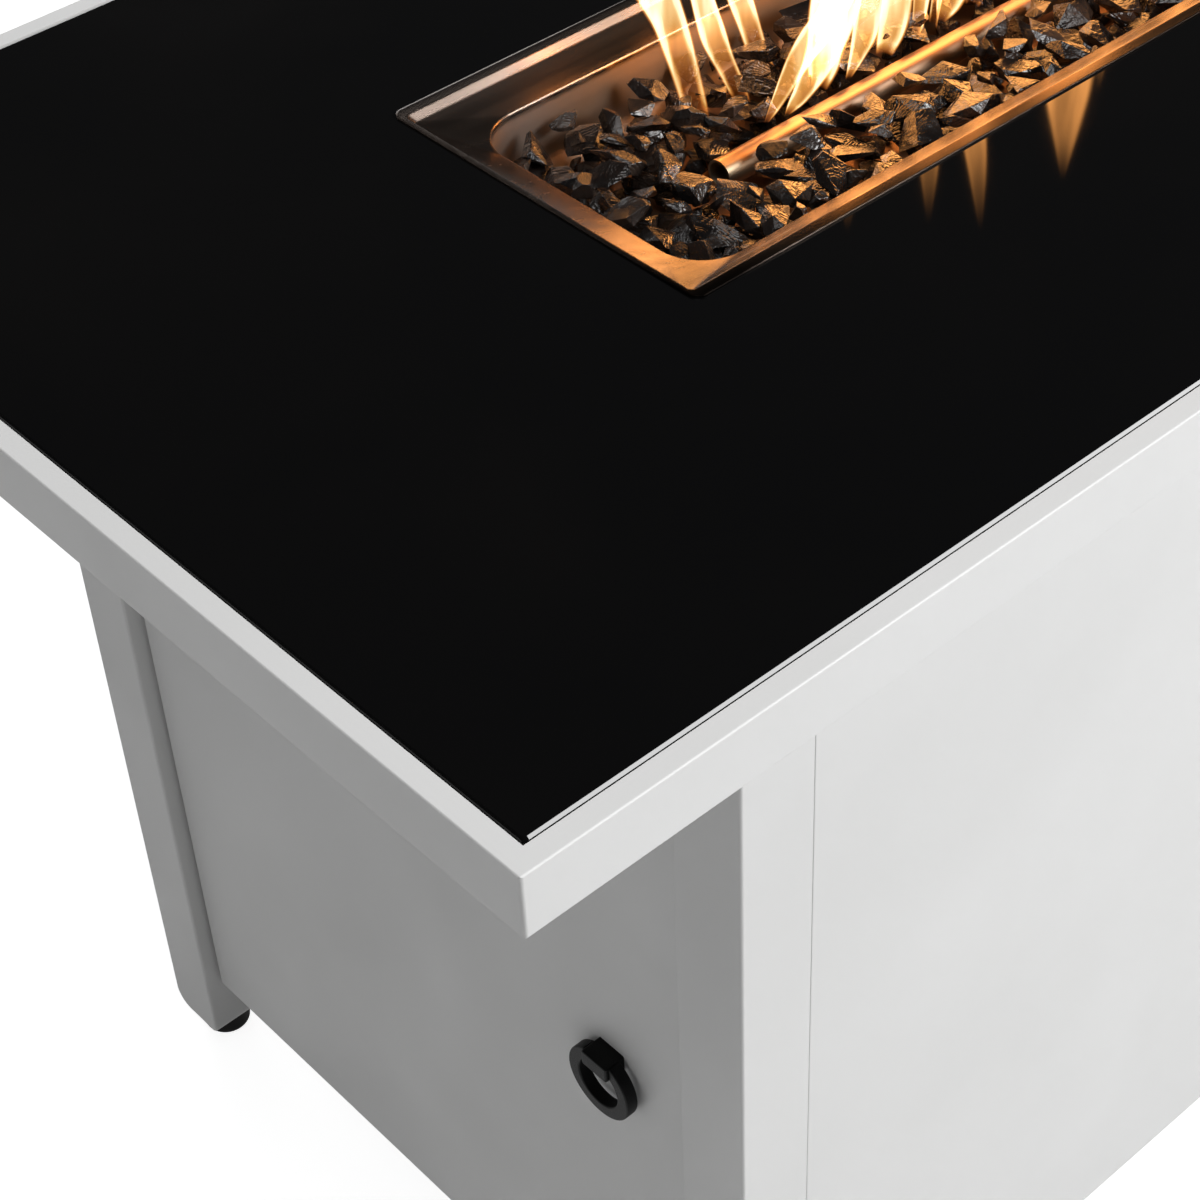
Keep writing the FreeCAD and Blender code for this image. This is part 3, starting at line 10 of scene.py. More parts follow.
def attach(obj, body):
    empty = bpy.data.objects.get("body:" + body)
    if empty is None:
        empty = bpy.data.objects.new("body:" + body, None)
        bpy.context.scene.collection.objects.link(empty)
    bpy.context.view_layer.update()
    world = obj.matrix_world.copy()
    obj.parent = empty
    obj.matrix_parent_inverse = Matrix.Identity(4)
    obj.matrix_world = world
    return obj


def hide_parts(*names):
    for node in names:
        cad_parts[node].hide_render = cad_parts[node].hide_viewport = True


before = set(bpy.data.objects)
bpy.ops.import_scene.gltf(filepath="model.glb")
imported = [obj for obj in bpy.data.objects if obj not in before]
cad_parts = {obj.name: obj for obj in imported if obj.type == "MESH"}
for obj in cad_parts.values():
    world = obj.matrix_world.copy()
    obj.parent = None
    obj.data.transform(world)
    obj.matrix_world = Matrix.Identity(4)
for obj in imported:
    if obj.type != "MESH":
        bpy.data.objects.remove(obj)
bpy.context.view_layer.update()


# Posts
# Four square steel tubes with rounded lower corners and a plate that takes the foot, powder coated
# white. The coat is thick enough to soften the edges and lies in a fine orange peel.
def shader_group(name, inputs, outputs):
    """A shared effect with named sockets, and its two end nodes."""
    tree = bpy.data.node_groups.new(name, "ShaderNodeTree")
    for label, kind, value in inputs:
        socket = tree.interface.new_socket(name=label, in_out="INPUT", socket_type="NodeSocket" + kind)
        socket.default_value = value
    for label, kind in outputs:
        tree.interface.new_socket(name=label, in_out="OUTPUT", socket_type="NodeSocket" + kind)
    return tree, tree.nodes.new("NodeGroupInput"), tree.nodes.new("NodeGroupOutput")


def node(tree, kind, feeds=None, **settings):
    """A node with its settings, its sockets fed by values or by other nodes' outputs."""
    made = tree.nodes.new("ShaderNode" + kind)
    for key, value in settings.items():
        setattr(made, key, value)
    for socket, source in (feeds or {}).items():
        if isinstance(source, bpy.types.NodeSocket):
            tree.links.new(source, made.inputs[socket])
        else:
            made.inputs[socket].default_value = source
    return made


def place(tree, group_tree, **feeds):
    """A shared effect set into a material; an input's spaces are written as underscores."""
    made = tree.nodes.new("ShaderNodeGroup")
    made.node_tree = group_tree
    for label, source in feeds.items():
        socket = made.inputs[label.replace("_", " ")]
        if isinstance(source, bpy.types.NodeSocket):
            tree.links.new(source, socket)
        else:
            socket.default_value = source
    return made


def ramp(tree, factor, stops):
    """A colour ramp through (place, colour) stops."""
    made = node(tree, "ValToRGB", {"Fac": factor})
    elements = made.color_ramp.elements
    elements[0].position, elements[0].color = stops[0][0], (*stops[0][1], 1)
    elements[1].position, elements[1].color = stops[-1][0], (*stops[-1][1], 1)
    for spot, colour in stops[1:-1]:
        elements.new(spot).color = (*colour, 1)
    return made.outputs["Color"]


def spread(tree, factor, low, high, start=0.0, end=1.0, easing="LINEAR"):
    """A value that goes from low to high as factor goes from start to end."""
    feeds = {"Value": factor, "From Min": start, "From Max": end, "To Min": low, "To Max": high}
    return node(tree, "MapRange", feeds, interpolation_type=easing).outputs["Result"]


def new_finish(name, roughness, metallic=0.0, specular=0.5, coat=0.0):
    """A material with its Principled shader, uniform values set on the shader itself."""
    made = bpy.data.materials.new(name)
    made.use_nodes = True
    shader = made.node_tree.nodes["Principled BSDF"]
    uniform = {
        "Roughness": roughness,
        "Metallic": metallic,
        "Specular IOR Level": specular,
        "Coat Weight": coat,
        "Coat Roughness": 0.1,
    }
    for socket, value in uniform.items():
        shader.inputs[socket].default_value = value
    return made, made.node_tree, shader


def dye(tree, shader, pattern, *stops):
    """Base colour that follows a pattern through (place, colour) stops."""
    tree.links.new(ramp(tree, pattern, stops), shader.inputs["Base Color"])


def gloss(tree, shader, pattern, smoothest, roughest, start=0.0, end=1.0):
    """Roughness that follows a pattern from the smoothest to the roughest."""
    tree.links.new(spread(tree, pattern, smoothest, roughest, start, end), shader.inputs["Roughness"])


def relief(tree, shader, height, depth, strength, round_radius=0.0):
    """Surface relief of a real depth in metres, on edges that look rounded by round_radius."""
    bump = node(tree, "Bump", {"Height": height, "Distance": depth, "Strength": strength})
    if round_radius:
        rounded = node(tree, "Bevel", {"Radius": round_radius}, samples=6)
        tree.links.new(rounded.outputs["Normal"], bump.inputs["Normal"])
    tree.links.new(bump.outputs["Normal"], shader.inputs["Normal"])


def wear(finish, *names):
    """CAD nodes take a finish."""
    for name in names:
        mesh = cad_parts[name].data
        mesh.materials.clear()
        mesh.materials.append(finish)


# where most values of a noise lie
noise_range = (0.3, 0.7)

# Powder coat: grains of about 1 mm that have flowed together, over a slow unevenness of the film
fine_per_coarse_grain = 3.7
peel, peel_in, peel_out = shader_group(
    "Orange peel",
    [("Grain per metre", "Float", 900.0), ("Fine grain share", "Float", 0.3)],
    [("Height", "Float"), ("Film", "Float")],
)
place_xyz = node(peel, "TexCoord").outputs["Object"]
grains = peel_in.outputs["Grain per metre"]
coarse = node(peel, "TexNoise", {"Vector": place_xyz, "Scale": grains, "Detail": 1.5})
finer = node(peel, "Math", {0: grains, 1: fine_per_coarse_grain}, operation="MULTIPLY")
fine = node(peel, "TexNoise", {"Vector": place_xyz, "Scale": finer.outputs[0], "Detail": 1.0})
fine_share = peel_in.outputs["Fine grain share"]
mixed = node(peel, "Mix", {0: fine_share, 2: coarse.outputs[0], 3: fine.outputs[0]})
film = node(peel, "TexNoise", {"Vector": place_xyz, "Scale": 9.0, "Detail": 3.0, "Roughness": 0.55})
peel.links.new(mixed.outputs[0], peel_out.inputs["Height"])
peel.links.new(film.outputs[0], peel_out.inputs["Film"])

# Handling marks: faint smears and specks that change the gloss where the table is touched and wiped
specks_per_smear = 34.0
speck_sharpness = 8.0
marks, marks_in, marks_out = shader_group(
    "Handling marks",
    [("Size per metre", "Float", 14.0), ("Speck share", "Float", 0.2)],
    [("Smear", "Float"), ("Speck", "Float")],
)
place_xyz = node(marks, "TexCoord").outputs["Object"]
smears = marks_in.outputs["Size per metre"]
smear = node(marks, "TexNoise", {"Vector": place_xyz, "Scale": smears, "Detail": 5.0, "Distortion": 0.6})
many = node(marks, "Math", {0: smears, 1: specks_per_smear}, operation="MULTIPLY")
dots = node(marks, "TexVoronoi", {"Vector": place_xyz, "Scale": many.outputs[0]})
share = marks_in.outputs["Speck share"]
edge = node(marks, "Math", {0: share, 1: dots.outputs["Distance"]}, operation="SUBTRACT")
speck = node(marks, "Math", {0: edge.outputs[0], 1: speck_sharpness}, operation="MULTIPLY", use_clamp=True)
marks.links.new(smear.outputs[0], marks_out.inputs["Smear"])
marks.links.new(speck.outputs[0], marks_out.inputs["Speck"])

white_coat, tree, shader = new_finish("White powder coat", 0.42, specular=0.45)
skin = place(tree, peel, Grain_per_metre=850.0, Fine_grain_share=0.35)
touched = place(tree, marks, Size_per_metre=11.0, Speck_share=0.05)
dye(tree, shader, skin.outputs["Film"], (0.3, (0.775, 0.775, 0.77)), (0.7, (0.80, 0.80, 0.797)))
gloss(tree, shader, touched.outputs["Smear"], 0.38, 0.50, *noise_range)
relief(tree, shader, skin.outputs["Height"], 0.00006, 0.35)
wear(white_coat, "post_front_door_end", "post_front_far_end", "post_rear_door_end", "post_rear_far_end")


# Feet
# Moulded rubber glides with a stem that is pressed up into the plate in each post.
# The rubber is matt, with dust rubbed into its skirt.
rubber, tree, shader = new_finish("Moulded rubber", 0.7, specular=0.14)
skin = place(tree, peel, Grain_per_metre=2400.0, Fine_grain_share=0.5)
touched = place(tree, marks, Size_per_metre=60.0, Speck_share=0.3)
dye(tree, shader, touched.outputs["Smear"], (0.35, (0.004, 0.004, 0.004)), (0.7, (0.011, 0.0105, 0.010)))
gloss(tree, shader, touched.outputs["Speck"], 0.62, 0.8)
relief(tree, shader, skin.outputs["Height"], 0.0001, 0.5)
wear(rubber, "feet")


# Upper rails, long side panels and far end panel
# Folded steel sheets with returned edges, hooked over tubes between the posts.
# They carry the same white powder coat as the posts.
wear(white_coat, "upper_rails", "panel_front", "panel_rear", "panel_far_end")


# Door
# A folded steel tray with the white coat of the panels. It hangs on two hidden pin hinges at its far
# edge, where the fold is notched for them.
wear(white_coat, "door")


# Hinges and strike plate
# Pressed steel brackets, clevises and pins, zinc plated, with the faint blue of a clear chromate.
# The grain of the rolled sheet shows through the plating.
grain, grain_in, grain_out = shader_group(
    "Rolled grain",
    [("Lines per metre", "Vector", (40.0, 900.0, 900.0)), ("Fine share", "Float", 0.5)],
    [("Height", "Float"), ("Streak", "Float")],
)
place_xyz = node(grain, "TexCoord").outputs["Object"]
per_metre = grain_in.outputs["Lines per metre"]
drawn = node(grain, "VectorMath", {0: place_xyz, 1: per_metre}, operation="MULTIPLY").outputs[0]
lines = node(grain, "TexNoise", {"Vector": drawn, "Scale": 1.0, "Detail": 4.0, "Roughness": 0.65})
narrow = node(grain, "TexNoise", {"Vector": drawn, "Scale": 3.1, "Detail": 2.0})
both = node(grain, "Mix", {0: grain_in.outputs["Fine share"], 2: lines.outputs[0], 3: narrow.outputs[0]})
slow = node(grain, "TexNoise", {"Vector": drawn, "Scale": 0.11, "Detail": 3.0})
grain.links.new(both.outputs[0], grain_out.inputs["Height"])
grain.links.new(slow.outputs[0], grain_out.inputs["Streak"])

zinc, tree, shader = new_finish("Zinc plated steel", 0.4, metallic=1.0)
rolled = place(tree, grain, Lines_per_metre=(120.0, 1500.0, 1500.0))
touched = place(tree, marks, Size_per_metre=45.0)
zinc_stops = [(0.3, (0.56, 0.58, 0.60)), (0.55, (0.64, 0.65, 0.66)), (0.75, (0.66, 0.65, 0.60))]
dye(tree, shader, touched.outputs["Smear"], *zinc_stops)
gloss(tree, shader, rolled.outputs["Streak"], 0.3, 0.48, *noise_range)
relief(tree, shader, rolled.outputs["Height"], 0.00004, 0.4)
wear(zinc, "hinge_brackets", "hinge_clevises", "hinge_pins", "strike_plate")


# Magnet catch
# A moulded case of black plastic under the bearer. The strike plate in the door meets it when the door
# is shut.
black_plastic, tree, shader = new_finish("Black moulded plastic", 0.5, specular=0.4)
skin = place(tree, peel, Grain_per_metre=3000.0, Fine_grain_share=0.6)
touched = place(tree, marks, Size_per_metre=30.0)
dye(tree, shader, touched.outputs["Smear"], (0.3, (0.014, 0.014, 0.015)), (0.7, (0.022, 0.022, 0.023)))
gloss(tree, shader, touched.outputs["Smear"], 0.42, 0.58, *noise_range)
relief(tree, shader, skin.outputs["Height"], 0.00005, 0.5)
wear(black_plastic, "magnet_catch")


# Ring pull
# A small lug on the door and a flat open ring whose two pins are sprung into the lug's sides, both of
# steel with a black textured coat. Two screws from the inside of the door hold the lug.
black_coat, tree, shader = new_finish("Black textured coat", 0.5, specular=0.14)
skin = place(tree, peel, Grain_per_metre=2600.0, Fine_grain_share=0.4)
touched = place(tree, marks, Size_per_metre=70.0, Speck_share=0.12)
dye(tree, shader, touched.outputs["Smear"], (0.3, (0.003, 0.003, 0.0034)), (0.75, (0.007, 0.0068, 0.0066)))
gloss(tree, shader, skin.outputs["Height"], 0.4, 0.62, *noise_range)
relief(tree, shader, skin.outputs["Height"], 0.00012, 0.7)
wear(black_coat, "ring_lug", "ring_pull")
wear(zinc, "pull_screws")


# Bottle shelf
# A folded steel tray with a welded ring that the bottle's foot stands in, all coated white.
# A wing screw of zinc plated steel goes through the ring and pinches the foot.
wear(white_coat, "bottle_shelf", "bottle_ring")
wear(zinc, "clamp_screw")


# Bearers and top frame
# Tubes across and along under the glass, and four extruded aluminium rails with mitred corners on keys.
# The rails have the white coat of the cabinet; the keys inside are bare metal.
aluminium, tree, shader = new_finish("Bare aluminium", 0.35, metallic=1.0)
rolled = place(tree, grain, Lines_per_metre=(1300.0, 60.0, 1300.0))
dye(tree, shader, rolled.outputs["Streak"], (0.3, (0.70, 0.71, 0.72)), (0.7, (0.80, 0.80, 0.80)))
gloss(tree, shader, rolled.outputs["Streak"], 0.28, 0.42, *noise_range)
relief(tree, shader, rolled.outputs["Height"], 0.00004, 0.4)
wear(aluminium, "corner_keys")
wear(white_coat, "cross_bearers", "long_bearers")
wear(white_coat, "top_rail_front", "top_rail_rear", "top_rail_door_end", "top_rail_far_end")


# Glass top
# One pane of 6 mm toughened glass, black enamelled underneath, its edges ground to a polished arris.
# It lies on rubber pads, a millimetre inside the rails.
black_glass, tree, shader = new_finish("Black glass", 0.04)
touched = place(tree, marks, Size_per_metre=7.0, Speck_share=0.03)
enamel_stops = [(0.35, (0.0022, 0.0022, 0.0024)), (0.7, (0.0030, 0.0028, 0.0028))]
dye(tree, shader, touched.outputs["Smear"], *enamel_stops)
gloss(tree, shader, touched.outputs["Smear"], 0.035, 0.075, 0.35, 0.75)
wear(black_glass, "glass_top")
wear(rubber, "glass_pads")


# Burner pan
# Pressed from one sheet of stainless steel: a flat lip, a short step, a dished rim and drafted walls.
# The heat has turned the steel near the burner straw and brown.
hot_half_length = 0.17
hot_height = 0.61

# Heat tint: strongest on the hot line over the burner and gone at a reach from it
tint, tint_in, tint_out = shader_group(
    "Heat tint",
    [("Reach", "Float", 0.10), ("Colour", "Color", (0.62, 0.60, 0.57, 1.0))],
    [("Tinted", "Color")],
)
place_xyz = node(tint, "TexCoord").outputs["Object"]
apart = node(tint, "SeparateXYZ", {"Vector": place_xyz}).outputs
along = node(tint, "Math", {0: apart["X"]}, operation="ABSOLUTE")
beyond = node(tint, "Math", {0: along.outputs[0], 1: hot_half_length}, operation="SUBTRACT")
past_end = node(tint, "Math", {0: beyond.outputs[0], 1: 0.0}, operation="MAXIMUM")
below = node(tint, "Math", {0: apart["Z"], 1: hot_height}, operation="SUBTRACT")
offset = node(tint, "CombineXYZ", {"X": past_end.outputs[0], "Y": apart["Y"], "Z": below.outputs[0]})
gap = node(tint, "VectorMath", {0: offset.outputs[0]}, operation="LENGTH")
ragged = node(tint, "TexNoise", {"Vector": place_xyz, "Scale": 22.0, "Detail": 4.0})
waver = spread(tint, ragged.outputs[0], 0.75, 1.25, *noise_range)
reached = node(tint, "Math", {0: tint_in.outputs["Reach"], 1: waver}, operation="MULTIPLY")
share = node(tint, "Math", {0: gap.outputs["Value"], 1: reached.outputs[0]}, operation="DIVIDE")
heated = spread(tint, share.outputs[0], 1.0, 0.0)
clean, pale_straw, brown, purple = (1, 1, 1), (0.93, 0.80, 0.60), (0.66, 0.47, 0.34), (0.50, 0.42, 0.42)
straw = ramp(tint, heated, [(0.0, clean), (0.45, pale_straw), (0.8, brown), (1.0, purple)])
dyed = node(
    tint, "Mix", {0: 1.0, 6: tint_in.outputs["Colour"], 7: straw}, data_type="RGBA", blend_type="MULTIPLY"
)
tint.links.new(dyed.outputs[2], tint_out.inputs["Tinted"])

# where the pan's step begins and ends in height, and the reaches in y and x of the painted shade on its end
# flange
step_low, step_high = 0.6225, 0.6245
dimming_span = 0.1
end_shade_y = (-0.09, 0.01)
end_shade_x = (-0.264, -0.238)
end_shine_kept = 0.8
streak_below, streak_above = 0.04, 0.05


def stainless(name, roughness, lines, reach, colour, dimming_bands, round_radii=(0.0, 0.0), scorched=0.0):
    """Stainless steel with its grain along one axis, tinted near the burner and darkened in bands across Y
    and at its end towards -X.

    The bands list how much of the colour is kept across Y, from 0 at minus the dimming span to 1 at the
    dimming span.
    The edges look rounded by the first of round_radii below the pan's step and by the second above it.
    Below the step the roughness grows by scorched.
    """
    made, tree, shader = new_finish(name, roughness, metallic=1.0)
    rolled = place(tree, grain, Lines_per_metre=lines)
    heat = place(tree, tint, Reach=reach, Colour=(*colour, 1.0))
    spot = node(tree, "SeparateXYZ", {"Vector": node(tree, "TexCoord").outputs["Object"]}).outputs
    across = spread(tree, spot["Y"], 0.0, 1.0, -dimming_span, dimming_span)
    kept = ramp(tree, across, [(at, (shine, shine, shine)) for at, shine in dimming_bands])
    # Painted shade on the pan's end flange towards -X: its colour is darkened, most towards the near corner.
    end_shine = spread(tree, spot["Y"], dimming_bands[0][1] / 2, end_shine_kept, *end_shade_y)
    at_end = spread(tree, spot["X"], end_shine, 1.0, *end_shade_x)
    dimmed = node(tree, "VectorMath", {0: heat.outputs["Tinted"], "Scale": at_end}, operation="SCALE")
    darkened = node(tree, "VectorMath", {0: dimmed.outputs["Vector"], 1: kept}, operation="MULTIPLY")
    tree.links.new(darkened.outputs["Vector"], shader.inputs["Base Color"])
    smoothest, roughest = roughness - streak_below, roughness + streak_above
    streaked = spread(tree, rolled.outputs["Streak"], smoothest, roughest, *noise_range)
    dulled = spread(tree, spot["Z"], scorched, 0.0, step_low, step_high)
    total = node(tree, "Math", {0: streaked, 1: dulled}, operation="ADD")
    tree.links.new(total.outputs[0], shader.inputs["Roughness"])
    softened = spread(tree, spot["Z"], *round_radii, step_low, step_high) if max(round_radii) else 0.0
    relief(tree, shader, rolled.outputs["Height"], 0.00003, 0.3, softened)
    return made


# Painted shade: the pan's colour is darkened on the near flange and step and on the far outer strip,
# standing in for dimmer reflections there.
pan_painted_shade = (
    (0.0, 0.1), (0.035, 0.35), (0.055, 0.5), (0.14, 0.55),
    (0.24, 1.0), (0.962, 1.0), (0.972, 0.3), (1.0, 0.3),
)
pan_steel = stainless(
    "Pressed stainless",
    roughness=0.24,
    lines=(30.0, 1400.0, 1400.0),
    reach=0.11,
    colour=(0.31, 0.24, 0.20),
    dimming_bands=pan_painted_shade,
    round_radii=(0.005, 0.0012),
    scorched=0.30,
)
wear(pan_steel, "burner_pan")


# Burner tube
# A straight stainless tube with a row of ports on each side, plugged a little way in from its ends.
# It lies in two folded saddles, and a nut under the pan pulls it down by its stub.
# The colour of the tube and its saddles grows darker from y = -0.1 m to 0.35 of it at y = -9 mm, and is full
# again from y = 1 mm, so the tube's near half is darker.
tube_near_dimming = ((0.0, 1.0), (0.455, 0.35), (0.485, 0.45), (0.505, 1.0), (1.0, 1.0))
tube_steel = stainless(
    "Burner stainless",
    roughness=0.42,
    lines=(60.0, 1800.0, 1800.0),
    reach=0.03,
    colour=(0.86, 0.76, 0.66),
    dimming_bands=tube_near_dimming,
)
wear(tube_steel, "burner_tube", "burner_saddles", "probe_holder")
wear(zinc, "burner_locknut", "tube_plugs", "inlet_elbow", "air_mixer")


# Gas line
# The valve, the orifice, the hose inlet and the two nuts that hold the bent aluminium pipe are turned
# from brass. The valve's rod and stem are plated steel.
brass, tree, shader = new_finish("Turned brass", 0.3, metallic=1.0)
turned = place(tree, grain, Lines_per_metre=(1100.0, 1100.0, 1100.0), Fine_share=0.7)
touched = place(tree, marks, Size_per_metre=60.0)
dye(tree, shader, touched.outputs["Smear"], (0.3, (0.62, 0.43, 0.17)), (0.7, (0.78, 0.57, 0.27)))
gloss(tree, shader, touched.outputs["Smear"], 0.24, 0.42, *noise_range)
relief(tree, shader, turned.outputs["Height"], 0.00003, 0.4)
wear(brass, "orifice_fitting", "hose_inlet", "pipe_nuts", "gas_valve")
wear(aluminium, "gas_pipe")
wear(zinc, "valve_push_rod", "valve_stem")


# Electrode and thermocouple
# A glazed ceramic body round the spark wire, and a steel sensor beside it. Both stand in a plate on the
# floor of the pan.
ceramic, tree, shader = new_finish("Glazed ceramic", 0.2, coat=0.3)
touched = place(tree, marks, Size_per_metre=90.0, Speck_share=0.25)
dye(tree, shader, touched.outputs["Smear"], (0.3, (0.66, 0.63, 0.57)), (0.7, (0.80, 0.79, 0.75)))
gloss(tree, shader, touched.outputs["Speck"], 0.18, 0.4)
wear(ceramic, "spark_electrode")
wear(tube_steel, "thermocouple")


# Controls
# A black coated plate on the rear panel, an aluminium dial under the knob, and an igniter beside it.
# The knob is moulded in gloss black and the igniter's button in red. The marks are printed.
gloss_black, tree, shader = new_finish("Gloss black plastic", 0.18)
skin = place(tree, peel, Grain_per_metre=1200.0, Fine_grain_share=0.2)
touched = place(tree, marks, Size_per_metre=50.0, Speck_share=0.1)
dye(tree, shader, touched.outputs["Smear"], (0.3, (0.008, 0.008, 0.009)), (0.7, (0.014, 0.014, 0.015)))
gloss(tree, shader, touched.outputs["Smear"], 0.13, 0.28, *noise_range)
relief(tree, shader, skin.outputs["Height"], 0.00003, 0.3)

red_plastic, tree, shader = new_finish("Red moulded plastic", 0.3)
touched = place(tree, marks, Size_per_metre=80.0, Speck_share=0.1)
dye(tree, shader, touched.outputs["Smear"], (0.3, (0.42, 0.018, 0.014)), (0.7, (0.52, 0.028, 0.020)))
gloss(tree, shader, touched.outputs["Smear"], 0.24, 0.4, *noise_range)
wear(black_coat, "control_plate")
wear(aluminium, "dial_ring")
wear(gloss_black, "control_knob")
wear(black_plastic, "igniter_body", "igniter_nut")
wear(red_plastic, "igniter_button")

white_print, tree, shader = new_finish("White print", 0.5)
touched = place(tree, marks, Size_per_metre=120.0, Speck_share=0.2)
dye(tree, shader, touched.outputs["Smear"], (0.3, (0.66, 0.66, 0.64)), (0.7, (0.78, 0.78, 0.76)))
black_print, tree, shader = new_finish("Black print", 0.45)
touched = place(tree, marks, Size_per_metre=120.0, Speck_share=0.2)
dye(tree, shader, touched.outputs["Smear"], (0.3, (0.010, 0.010, 0.011)), (0.7, (0.022, 0.022, 0.023)))

knob_x, knob_z = 0.222, 0.548
# how far out the faces lie that carry the prints, and how far a print stands off its face
plate_face, dial_face, knob_face = 0.2430, 0.2442, 0.2668
print_rise = 0.0001


def put(name, data):
    """An object in the scene for a mesh, a lamp or a lens."""
    made = bpy.data.objects.new(name, data)
    bpy.context.collection.objects.link(made)
    return made


def printed(name, strokes, face_y, finish, body):
    """Strokes of ink on a face that looks towards +Y: each is its spots in x and z and its two widths."""
    shape = bmesh.new()
    for spots, first_width, last_width in strokes:
        count = len(spots) - 1
        line = [Vector((x, 0, z)) for x, z in spots]
        for n, (near_spot, far_spot) in enumerate(zip(line, line[1:])):
            side = (far_spot - near_spot).cross(Vector((0, 1, 0))).normalized()
            near_half = side * (first_width + (last_width - first_width) * (n / count)) / 2
            far_half = side * (first_width + (last_width - first_width) * ((n + 1) / count)) / 2
            near_corners = [near_spot + near_half, near_spot - near_half]
            corners = [*near_corners, far_spot - far_half, far_spot + far_half]
            low, top = (
                [shape.verts.new((c.x, y, c.z)) for c in corners] for y in (face_y, face_y + print_rise)
            )
            shape.faces.new(top)
            shape.faces.new(low[::-1])
            for k in range(4):
                shape.faces.new((low[k], low[(k + 1) % 4], top[(k + 1) % 4], top[k]))
    bmesh.ops.recalc_face_normals(shape, faces=shape.faces)
    mesh = bpy.data.meshes.new(name)
    shape.to_mesh(mesh)
    shape.free()
    mesh.materials.append(finish)
    made = put(name, mesh)
    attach(made, body)


def round_dial(degrees, reach):
    """A spot at an angle from the top of the dial, towards +X, and at a reach from its middle."""
    angle = math.radians(degrees)
    return knob_x + math.sin(angle) * reach, knob_z + math.cos(angle) * reach


# the ticks' and the wedge's reaches from the dial's middle, their widths and their angles in degrees
tick_foot, long_tick, short_tick = 0.0212, 0.0242, 0.0228
tick_width = 0.0006
tick_angles = range(0, 181, 15)
wedge_reach = 0.0238
wedge_widths = (0.0016, 0.0003)
wedge_angles = range(98, 173, 5)
dial_strokes = []
for degrees in tick_angles:
    tip = long_tick if degrees % 90 == 0 else short_tick
    dial_strokes.append(((round_dial(degrees, tick_foot), round_dial(degrees, tip)), tick_width, tick_width))
dial_strokes.append(([round_dial(degrees, wedge_reach) for degrees in wedge_angles], *wedge_widths))
printed("dial_ticks", dial_strokes, dial_face, black_print, "root")

# corners of the letters' strokes, in shares of a letter's height, from its lower left
round_o = [(0.15, 0), (0.5, 0), (0.65, 0.2), (0.65, 0.8), (0.5, 1), (0.15, 1), (0, 0.8), (0, 0.2), (0.15, 0)]
letter_lines = {
    "O": [round_o],
    "F": [[(0, 0), (0, 1), (0.6, 1)], [(0, 0.52), (0.48, 0.52)]],
    "H": [[(0, 0), (0, 1)], [(0.65, 0), (0.65, 1)], [(0, 0.5), (0.65, 0.5)]],
    "I": [[(0, 0), (0, 1)]],
    "L": [[(0, 1), (0, 0), (0.6, 0)]],
}
letter_height = 0.003
letter_half_width = letter_height * 0.32
letter_stroke = 0.00045
spark_stroke = 0.0005
# the words' middles: above, beside and below the dial
word_spots = {"OFF": (knob_x, 0.5760), "HI": (0.2545, knob_z), "LO": (knob_x, 0.5200)}
plate_marks = []
for word, (word_x, word_z) in word_spots.items():
    for n, letter in enumerate(word):
        left = word_x + ((len(word) - 1) / 2 - n) * letter_height + letter_half_width
        for line in letter_lines[letter]:
            spots = [(left - u * letter_height, word_z + (v - 0.5) * letter_height) for u, v in line]
            plate_marks.append((spots, letter_stroke, letter_stroke))
spark = [(0.1510, 0.5300), (0.1526, 0.5272), (0.1510, 0.5272), (0.1524, 0.5242)]
plate_marks.append((spark, spark_stroke, spark_stroke))
printed("plate_marks", plate_marks, plate_face, white_print, "root")

pointer_start, pointer_end = knob_z + 0.006, knob_z + 0.0150
pointer_width = 0.0012
pointer = ([(knob_x, pointer_start), (knob_x, pointer_end)], pointer_width, pointer_width)
printed("knob_pointer", [pointer], knob_face, white_print, "knob")


# Heat shield and screws
# A shallow galvanised tray between the burner and the bottle, hung from the long bearers on four bent
# strips. The screws of the bearers and of the control plate are zinc plated.
wear(zinc, "heat_shield", "shield_straps", "frame_screws")


# Fire glass
# Broken lumps of black glass, poured round the burner until the floor of the pan is covered.
# Each lump has flat fractures, sharp edges and the shell-like ripples of broken glass.
pan_floor, bed_top = 0.590, 0.6215
bed_half_x, bed_half_y = 0.264, 0.0705
cell = 0.0015
# no lump lies over the tube, in its open mouth or over the electrode and the thermocouple
tube_half_length, tube_end_room, mouth_depth = 0.186, 0.001, 0.002
tube_keep_out, mouth_keep_out = 0.0080, 0.013
probe_box = (0.056, 0.106, 0.016, 0.032)
layers = (
    # lumps wanted, most height above the floor, room in x and y, half lengths, half widths, half heights
    (300, 0.0150, (0.2585, 0.0660), (0.0060, 0.0110), (0.0050, 0.0080), (0.0040, 0.0062)),
    (330, 0.0315, (0.2620, 0.0692), (0.0100, 0.0190), (0.0070, 0.0125), (0.0048, 0.0088)),
    (330, 0.0300, (0.2610, 0.0685), (0.0060, 0.0105), (0.0048, 0.0075), (0.0036, 0.0056)),
)
pour_seed = 23
tries, most_misses = 14, 1000
# lumps sink a little into each other: this much of one's plan is looked at, it rests on this quantile of
# what lies below, and this much of its thickness fills the bed
plan_share, level_share, thickness_share = 0.94, 0.72, 0.8
least_gap = 0.0002
most_roll, most_pitch = 0.5, 0.4
hull_points, fractures = 11, 3
hull_reach, fracture_reach = (0.86, 1.08), (0.55, 0.8)
flat_angle = math.radians(4)
arris_share = 0.045


def any_way(dice):
    """A random direction, all as likely."""
    return Vector((dice.gauss(0, 1), dice.gauss(0, 1), dice.gauss(0, 1))).normalized()


